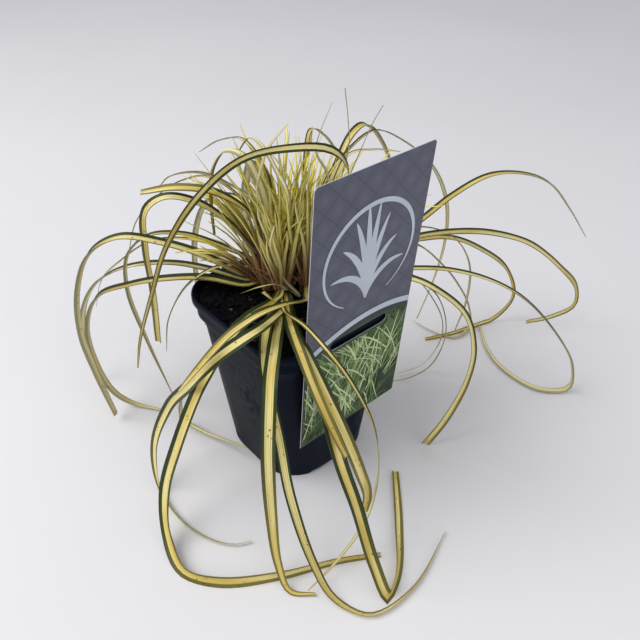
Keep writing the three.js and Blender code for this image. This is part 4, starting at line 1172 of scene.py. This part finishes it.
def inner_blades(foot, heading, spread, lean, bend, length, seed, count):
    """The thin inner leaves: the solid model's own ones, then upright ones that fill the shoot.

    The first are 1.9 to 3.2 mm wide and the others 1.4 to 2.9 mm, by their first draw. All narrow towards
    the tip by the square of the way past 45 %."""
    draws = inner_draws(seed, count + UPRIGHT_LEAVES)
    own, own_far = arches(foot, heading, spread, lean, bend, length, draws[:count])
    more, more_far = arches(foot, heading, 180, UPRIGHT_LEAN, UPRIGHT_BEND, length, draws[count:], (0, 3.4))
    far = np.concatenate([own_far, more_far])
    paths = waved(finer(np.concatenate([own, more]), INNER_RINGS), far, seed)
    along = np.linspace(0, 1, INNER_RINGS)[None]
    taper = 1 - 0.85 * np.maximum(0, (along - 0.45) / 0.55) ** 2
    taper = taper * (1.15 - 0.15 * np.minimum(1, along / 0.3))
    solid_own = np.arange(len(far))[:, None] < count
    widths = np.where(solid_own, 1.9 + 1.3 * draws[:, :1], 1.4 + 1.5 * draws[:, :1])
    turns = turned_by(90 * (draws[:, 3:4] - 0.5), along)
    return blades(paths, far, widths * taper, THIN_SECTION, turns, seed + 5, lean=0.3, roll=0.6)


total_faces = 0
for node, heading, ring, seed, leaves, inner, spread, lean, bend, length in SHOOTS:
    toward = math.radians(heading)
    foot = (ring * math.cos(toward), ring * math.sin(toward))
    parts = {
        "_leaves": (long_blades(foot, leaves, seed), striped_leaf, "striped_leaf"),
        "_heart": (gathered([
            inner_blades(foot, heading, spread, lean, bend, length, seed, inner),
            old_sheaths(foot, heading, 180, seed + 7, OLD_SHEATHS),
            ribbed_stem(foot, seed),
        ]), inner_leaf, "inner_leaf"),
    }
    for ending, ((points, faces, numbers), material, slot) in parts.items():
        name = node.replace("_shoot", ending)
        piece = make_piece(name, in_pot(points), faces, [material], numbers, LEAF_SOFT_ANGLE)
        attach(piece, "root")
        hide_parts(node)
        total_faces += len(piece.data.polygons)
print("leaf faces in all:", total_faces)

# %% [markdown]
# ## The label
#
# A plant label is a printed card of stiff plastic. A slot is punched in it, and the tongue left in the
# slot hooks over the rim. The card is a flat grid with the slot's cells left out, and a Solidify modifier
# gives it its thickness, with the pale core on its rim. The print is a slate ground with a soft quilted
# pattern, a plain silver spray of blades, a pale stripe and a field of grass strokes below it.

# %% Label finishes
QUILT_LINES = 7.2
CARD_UNIT = 100.0
STRIPE_TOP, STRIPE_BEND, STRIPE_MIDDLE = 9.5, 0.0065, 6.0


def card_material(name, ground, lighter, quilt=False):
    """Printed card: a ground tone with cloudy variation. Where quilt is set it has faint crossing lines
    and, below the pale stripe, a dark green field.

    The card's texture places are in hundreds of millimetres. In these the stripe's middle line is
    y = top / 100 - 100 x bend x (x - middle / 100) squared."""
    material, tree, shader = new_material(name, specular=0.4)
    place = add_node(tree, "ShaderNodeUVMap", uv_map="card").outputs[0]
    grain, dust = grain_in(tree, place, grain_scale=300.0, dust_scale=4.0)
    cloud = noise(tree, place, 6.0, 4.0)
    tone = mix(tree, cloud, colour(ground), colour(lighter))
    if quilt:
        parts = add_node(tree, "ShaderNodeSeparateXYZ", {0: place}).outputs
        lines = []
        for sign in (1.0, -1.0):
            up = calc(tree, "MULTIPLY", parts["Y"], QUILT_LINES)
            slant = calc(tree, "MULTIPLY_ADD", parts["X"], QUILT_LINES * sign, up)
            lines.append(calc(tree, "ABSOLUTE", calc(tree, "SUBTRACT", calc(tree, "FRACT", slant), 0.5)))
        near = calc(tree, "MINIMUM", *lines)
        pillow = calc(tree, "MULTIPLY", calc(tree, "MULTIPLY", *lines), 4.0)
        tone = mix(tree, step(tree, near, 0.0, 0.05, 0.55, 0.0), tone, colour("33343f"))
        tone = mix(tree, step(tree, pillow, 0.1, 0.9, 0.0, 0.35), tone, colour("626578"))
        aside = calc(tree, "SUBTRACT", parts["X"], STRIPE_MIDDLE / CARD_UNIT)
        square = calc(tree, "MULTIPLY", aside, aside)
        arch = calc(tree, "MULTIPLY_ADD", square, -STRIPE_BEND * CARD_UNIT, STRIPE_TOP / CARD_UNIT)
        below = calc(tree, "SUBTRACT", arch, parts["Y"])
        field = mix(tree, cloud, colour("27381f"), colour("41562e"))
        field = mix(tree, step(tree, below, 0.035, 0.075), colour("1d2a30"), field)
        tone = mix(tree, step(tree, below, 0.0, 0.003), tone, field)
    gloss = step(tree, calc(tree, "ADD", dust, cloud), 0.2, 1.4, 0.3, 0.5)
    feed(tree, shader.inputs, {"Base Color": tone, "Roughness": gloss})
    bump(tree, shader, grain, strength=0.08, distance=0.0001)
    return material


CARD_FINISHES = [
    card_material("slate print", "474958", "555767", quilt=True),
    card_material("pale card core", "a9abb3", "b9bac0"),
    card_material("plain card back", "c9cad0", "d6d6da"),
]

ink, ink_tree, ink_shader = new_material("printing ink", specular=0.15)
ink_base = add_node(ink_tree, "ShaderNodeAttribute", attribute_name="ink").outputs["Color"]
ink_cloud = noise(ink_tree, own_place(ink_tree), 90.0, 3.0)
ink_tone = mix(ink_tree, step(ink_tree, ink_cloud, 0.3, 0.8, 0.0, 0.14), ink_base, colour("7d8288"))
ink_gloss = step(ink_tree, ink_cloud, 0.2, 0.8, 0.3, 0.46)
feed(ink_tree, ink_shader.inputs, {"Base Color": ink_tone, "Roughness": ink_gloss})
print("label finishes:", [finish.name for finish in CARD_FINISHES], ink.name)

# %% The card and its tongue
LABEL_WIDTH = 67.6
LABEL_ABOVE = 90.6
LABEL_BELOW = 63.4
LABEL_CUT = 1.2
CARD_THICK = 0.4
TONGUE_THICK = 0.5
# The middle of the slot on the rim, and the card's three turns.
LABEL_SPOT = np.array([3.6, -45.1, 98.8])
LABEL_LEAN = math.radians(5.8)
LABEL_ROLL = math.radians(-1.0)
LABEL_YAW = math.radians(0.6)
SLOT_HALF = 18.5
SLOT_RISE = 2.7
SLOT_CUT = 1.7
TONGUE_HALF = 17.0
TONGUE_IN = 3.8
TONGUE_OVER = 1.7
TONGUE_DROP = 3.6


def on_label(local):
    """The card's own millimetres (along, in, up) as the model's: rolled about Y, leaned about X, turned
    about Z, then placed."""
    x, y, z = np.moveaxis(np.asarray(local, float), -1, 0)
    x, z = rotated(x, z, -LABEL_ROLL)
    y, z = rotated(y, z, LABEL_LEAN)
    x, y = rotated(x, y, LABEL_YAW)
    return (np.stack([x, y, z], axis=-1) + LABEL_SPOT) * MM


def card_sheet():
    """The card as a grid of cells: the slot's cells are left out, and the corners are cut off slantwise."""
    half = LABEL_WIDTH / 2
    inner = SLOT_HALF - SLOT_CUT
    xs = np.array([-half, -half + LABEL_CUT, -26, -SLOT_HALF, -inner, -8, 0, 8, inner, SLOT_HALF, 26,
                   half - LABEL_CUT, half])
    zs = np.array([-LABEL_BELOW, -40, -20, -SLOT_RISE, SLOT_CUT - SLOT_RISE, SLOT_RISE - SLOT_CUT, SLOT_RISE,
                   20, 40, 60, LABEL_ABOVE - LABEL_CUT, LABEL_ABOVE])
    x, z = np.meshgrid(xs, zs)
    faces = grid_faces(len(zs), len(xs), False)
    far = np.hypot(x, z).ravel()
    middle_x, middle_z = np.abs(x.ravel()[faces].mean(1)), z.ravel()[faces].mean(1)
    slot = (middle_x < SLOT_HALF) & (np.abs(middle_z) < SLOT_RISE)
    slot_end = slot & (middle_x > inner) & (np.abs(middle_z) > SLOT_RISE - SLOT_CUT)
    corner = (middle_x > half - LABEL_CUT) & (middle_z > LABEL_ABOVE - LABEL_CUT)
    kept = faces[~slot & ~corner].tolist()
    for group, left_out in ((corner, np.argmax), (slot_end, np.argmin)):
        for face in faces[group]:
            off = face[left_out(far[face])]
            kept.append([i for i in face.tolist() if i != off])
    return grid_of(x, 0.0, z).reshape(-1, 3), kept


def tongue_sheet():
    """The tongue's side profile, from the slot's upper edge over the rim and down, carried along X."""
    top, rest, middle = SLOT_RISE + 0.2, TONGUE_OVER + 0.45, TONGUE_IN / 2
    profile = np.array([(0.0, top), (0.5, top - 0.25), (middle - 0.4, rest + 0.15), (middle + 0.6, rest),
                        (TONGUE_IN, rest), (TONGUE_IN + 0.4, rest - 0.5),
                        (TONGUE_IN + 0.45, rest - TONGUE_DROP)])
    xs = np.linspace(-TONGUE_HALF, TONGUE_HALF, 7)
    grid = grid_of(xs[:, None], profile[None, :, 0], profile[None, :, 1])
    return grid.reshape(-1, 3), grid_faces(len(xs), len(profile), False).tolist()


def card_piece(name, local, faces, thickness):
    """A sheet on the label made a piece: UV in hundreds of millimetres, and Solidify for its thickness.

    Its finishes are in the order front, rim and back."""
    piece = make_piece(name, on_label(local), faces, CARD_FINISHES)
    layer = piece.data.uv_layers.new(name="card")
    corners = np.zeros(len(piece.data.loops), np.int32)
    piece.data.loops.foreach_get("vertex_index", corners)
    layer.data.foreach_set("uv", (local[corners][:, [0, 2]] / CARD_UNIT).astype(np.float32).ravel())
    piece.data.polygons.foreach_set("use_smooth", np.zeros(len(piece.data.polygons), bool))
    solid = piece.modifiers.new("thickness", "SOLIDIFY")
    solid.thickness = thickness * MM
    solid.offset = 0.0
    solid.material_offset_rim = 1
    solid.material_offset = 2
    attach(piece, "root")
    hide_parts("plant_label")


card_piece("label_card", *card_sheet(), CARD_THICK)
card_piece("label_tongue", *tongue_sheet(), TONGUE_THICK)

# %% [markdown]
# ### The print
#
# The printed shapes are very thin raised strips, because a strip has a sharp edge at any distance and
# needs no image. A strip is a curve with a width: its points are (curve + across x half width), where
# across is square to the curve. The silver spray is a fan of blades inside an open ring, the stripe is a
# shallow arch, and the grass field is several hundred thin strokes in greens and straw.

# %% Strips of ink
PRINT_HEIGHT = 0.06
PRINT_LOW, PRINT_HIGH = (-33.6, -63.2), (33.6, 90.4)


def strips(curves, widths, lift):
    """Flat strips on the card's front. curves has the shape (strips, points, 2), widths (strips, points).

    Points past the print's corners are drawn back to them, so the strips stay on the card."""
    ahead = unit(np.gradient(curves, axis=1))
    across = np.stack([-ahead[..., 1], ahead[..., 0]], axis=-1)
    half = (np.asarray(widths) / 2)[..., None]
    pair = np.clip(np.stack([curves - across * half, curves + across * half], axis=2), PRINT_LOW, PRINT_HIGH)
    points = grid_of(pair[..., 0], -(CARD_THICK / 2 + np.asarray(lift))[:, None, None], pair[..., 1])
    count, steps = curves.shape[:2]
    starts = (np.arange(count) * steps * 2)[:, None, None]
    return points.reshape(-1, 3), (grid_faces(steps, 2, False)[None] + starts).reshape(-1, 4), steps * 2


def print_piece(name, layers):
    """Joins ink layers, each (curves, widths, lift, colours), into one piece with its colours."""
    points, faces, inks, start = [], [], [], 0
    for curves, widths, lift, colours in layers:
        some, every, each = strips(curves, widths, lift)
        points.append(some)
        faces.append(every + start)
        inks.append(np.repeat(colours, each, axis=0))
        start += len(some)
    local, faces = np.concatenate(points), np.concatenate(faces)
    first = on_label(local[faces[:, 0]])
    normal = np.cross(on_label(local[faces[:, 1]]) - first, on_label(local[faces[:, 3]]) - first)
    faces[normal[:, 1] > 0] = faces[normal[:, 1] > 0][:, ::-1]
    piece = make_piece(name, on_label(local), faces.tolist(), [ink])
    layer = piece.data.attributes.new("ink", "FLOAT_COLOR", "POINT")
    layer.data.foreach_set("color", np.concatenate(inks).astype(np.float32).ravel())
    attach(piece, "root")


def tones(codes, picks, shade):
    """A colour for each strip: one of the codes, darkened or lightened by its own shade."""
    table = np.array([colour(code) for code in codes])[picks]
    table[:, :3] *= shade[:, None]
    return table


def stripe_height(x):
    """The pale stripe's middle line, highest a little right of the middle: top - bend x (x - middle)^2."""
    return STRIPE_TOP - STRIPE_BEND * (x - STRIPE_MIDDLE) ** 2


stripe_x = np.linspace(-34, 34, 41)
stripe = np.stack([stripe_x, stripe_height(stripe_x)], axis=-1)[None]
print("stripe from", stripe[0, 0].round(1), "to", stripe[0, -1].round(1))

# %% The spray and its ring
# Each blade of the spray: how far it reaches aside, how far it rises and how far its tip droops.
SPRAY = np.array([(-23, 30, 12), (-17, 41, 8), (-10.5, 49, 4), (-4, 53, 1), (3, 52, 1), (9.5, 47, 4),
                  (16, 38, 9), (22.5, 27, 12)])
SPRAY_X, SPRAY_FOOT = 1.0, 21
RING_MIDDLE, RING_RADIUS = 45, 27
BOLD = 3.4


def spray_curves():
    """Blades of the silver spray, t from 0 to 1: x = reach x t to the 1.7, z = rise x t - droop x t^3."""
    t = np.linspace(0, 1, 22)[None, :]
    reach, rise, droop = SPRAY.T[..., None]
    curves = np.stack([SPRAY_X + reach * t ** 1.7, SPRAY_FOOT + rise * t - droop * t ** 3], axis=-1)
    widths = BOLD * np.sin(np.pi * np.clip(t * 0.94 + 0.06, 0, 1)) ** 0.6
    return curves, widths * np.ones((len(SPRAY), 1))


def ring_curve():
    """An open ring round the spray: five sixths of a circle, thin at both ends."""
    t = np.linspace(0, 1, 60)
    turn = np.radians(-60 + 300 * t)
    x, z = SPRAY_X + RING_RADIUS * np.cos(turn), RING_MIDDLE + RING_RADIUS * np.sin(turn)
    return np.stack([x, z], axis=-1)[None], (0.5 + 1.9 * np.sin(np.pi * t))[None]


silver = tones(["bcc5ce"], np.zeros(len(SPRAY), int), np.ones(len(SPRAY)))
print_piece("label_spray", [
    (*spray_curves(), PRINT_HEIGHT + 0.01 * np.arange(len(SPRAY)), silver),
    (*ring_curve(), [PRINT_HEIGHT + 0.1], silver[:1]),
    (stripe, np.full((1, len(stripe_x)), BOLD), [PRINT_HEIGHT + 0.16], silver[:1]),
])

# %% The grass field
FANS = 16
TRIED_POINTS, STROKE_POINTS = 40, 8
FIELD_SIDE, FIELD_LOW, SLOT_MARGIN = 33.3, -62.9, 0.9
# Two tones for each layer of strokes, and each layer's number of strokes, seed, longest stroke and width.
GRASS_TONES = ["182b12", "24391b", "385427", "567236", "7a9656", "c2d09e"]
GRASS_LAYERS = ((300, 5, 26, 1.9), (260, 6, 32, 1.2), (170, 7, 36, 0.8))


def grass_strokes(count, seed, longest, width, ceiling):
    """Grass strokes in fans: each leaves its fan's foot at an angle and droops by up to a quarter.

    A stroke is tried at 40 points, and ends where it would meet the stripe, the slot or the card's edge."""
    draw = np.random.RandomState(seed)
    fans = np.stack([draw.uniform(*span, FANS) for span in ((-32, 32), (-62, -12), (-35, 35))], axis=1)
    fan = fans[draw.randint(0, FANS, count)]
    foot = fan[:, :2] + draw.normal(0, 4.5, (count, 2))
    foot = np.clip(foot, [-33, -62.5], [33, -4.2])
    angle = np.radians(fan[:, 2:] + draw.uniform(-42, 42, (count, 1)))
    far = draw.uniform(0.35, 1.0, (count, 1)) * longest
    droop = draw.uniform(0.0, 0.25, (count, 1))

    def places(t):
        """Points: x = foot + far x sin x (t + droop t squared), z = foot + far x (cos x t - droop t^3)."""
        x = foot[:, :1] + far * np.sin(angle) * (t + droop * t * t)
        return x, foot[:, 1:] + far * (np.cos(angle) * t - droop * t ** 3)

    x, z = places(np.linspace(0, 1, TRIED_POINTS)[None, :])
    hit = (z > stripe_height(x) - ceiling) | (np.abs(x) > FIELD_SIDE) | (z < FIELD_LOW)
    hit |= (np.abs(x) < SLOT_HALF + SLOT_MARGIN) & (np.abs(z) < SLOT_RISE + SLOT_MARGIN)
    reach = (np.where(hit.any(1), hit.argmax(1), TRIED_POINTS) - 1) / (TRIED_POINTS - 1)
    t = np.linspace(0, 1, STROKE_POINTS)[None, :]
    x, z = places(t * np.maximum(reach, 0.01)[:, None])
    widths = width * draw.uniform(0.6, 1.3, (count, 1)) * (1 - 0.8 * (2 * t - 0.9) ** 2 / 1.3)
    clear = reach > 0.2
    return np.stack([x, z], axis=-1)[clear], widths[clear], draw


layers = []
for index, (count, seed, longest, width) in enumerate(GRASS_LAYERS):
    curves, widths, draw = grass_strokes(count, seed, longest, width, 5.5 - index)
    picks = draw.randint(0, 2, len(curves)) + 2 * index
    shade = draw.uniform(0.8, 1.12, len(curves))
    lift = PRINT_HEIGHT + 0.04 * (index + 1) + draw.uniform(0, 0.03, len(curves))
    layers.append((curves, widths, lift, tones(GRASS_TONES, picks, shade)))
print_piece("label_grass", layers)

# %% [markdown]
# ## Check the size
#
# The dressed object must fill the same space as the solid model.

# %% Compare the boxes
low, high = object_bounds()
for axis, name in enumerate("XYZ"):
    below, above = (low[axis] - CAD_LOW[axis]) / MM, (high[axis] - CAD_HIGH[axis]) / MM
    print(f"{name}: {below:+.1f} mm at the low side, {above:+.1f} mm at the high side")
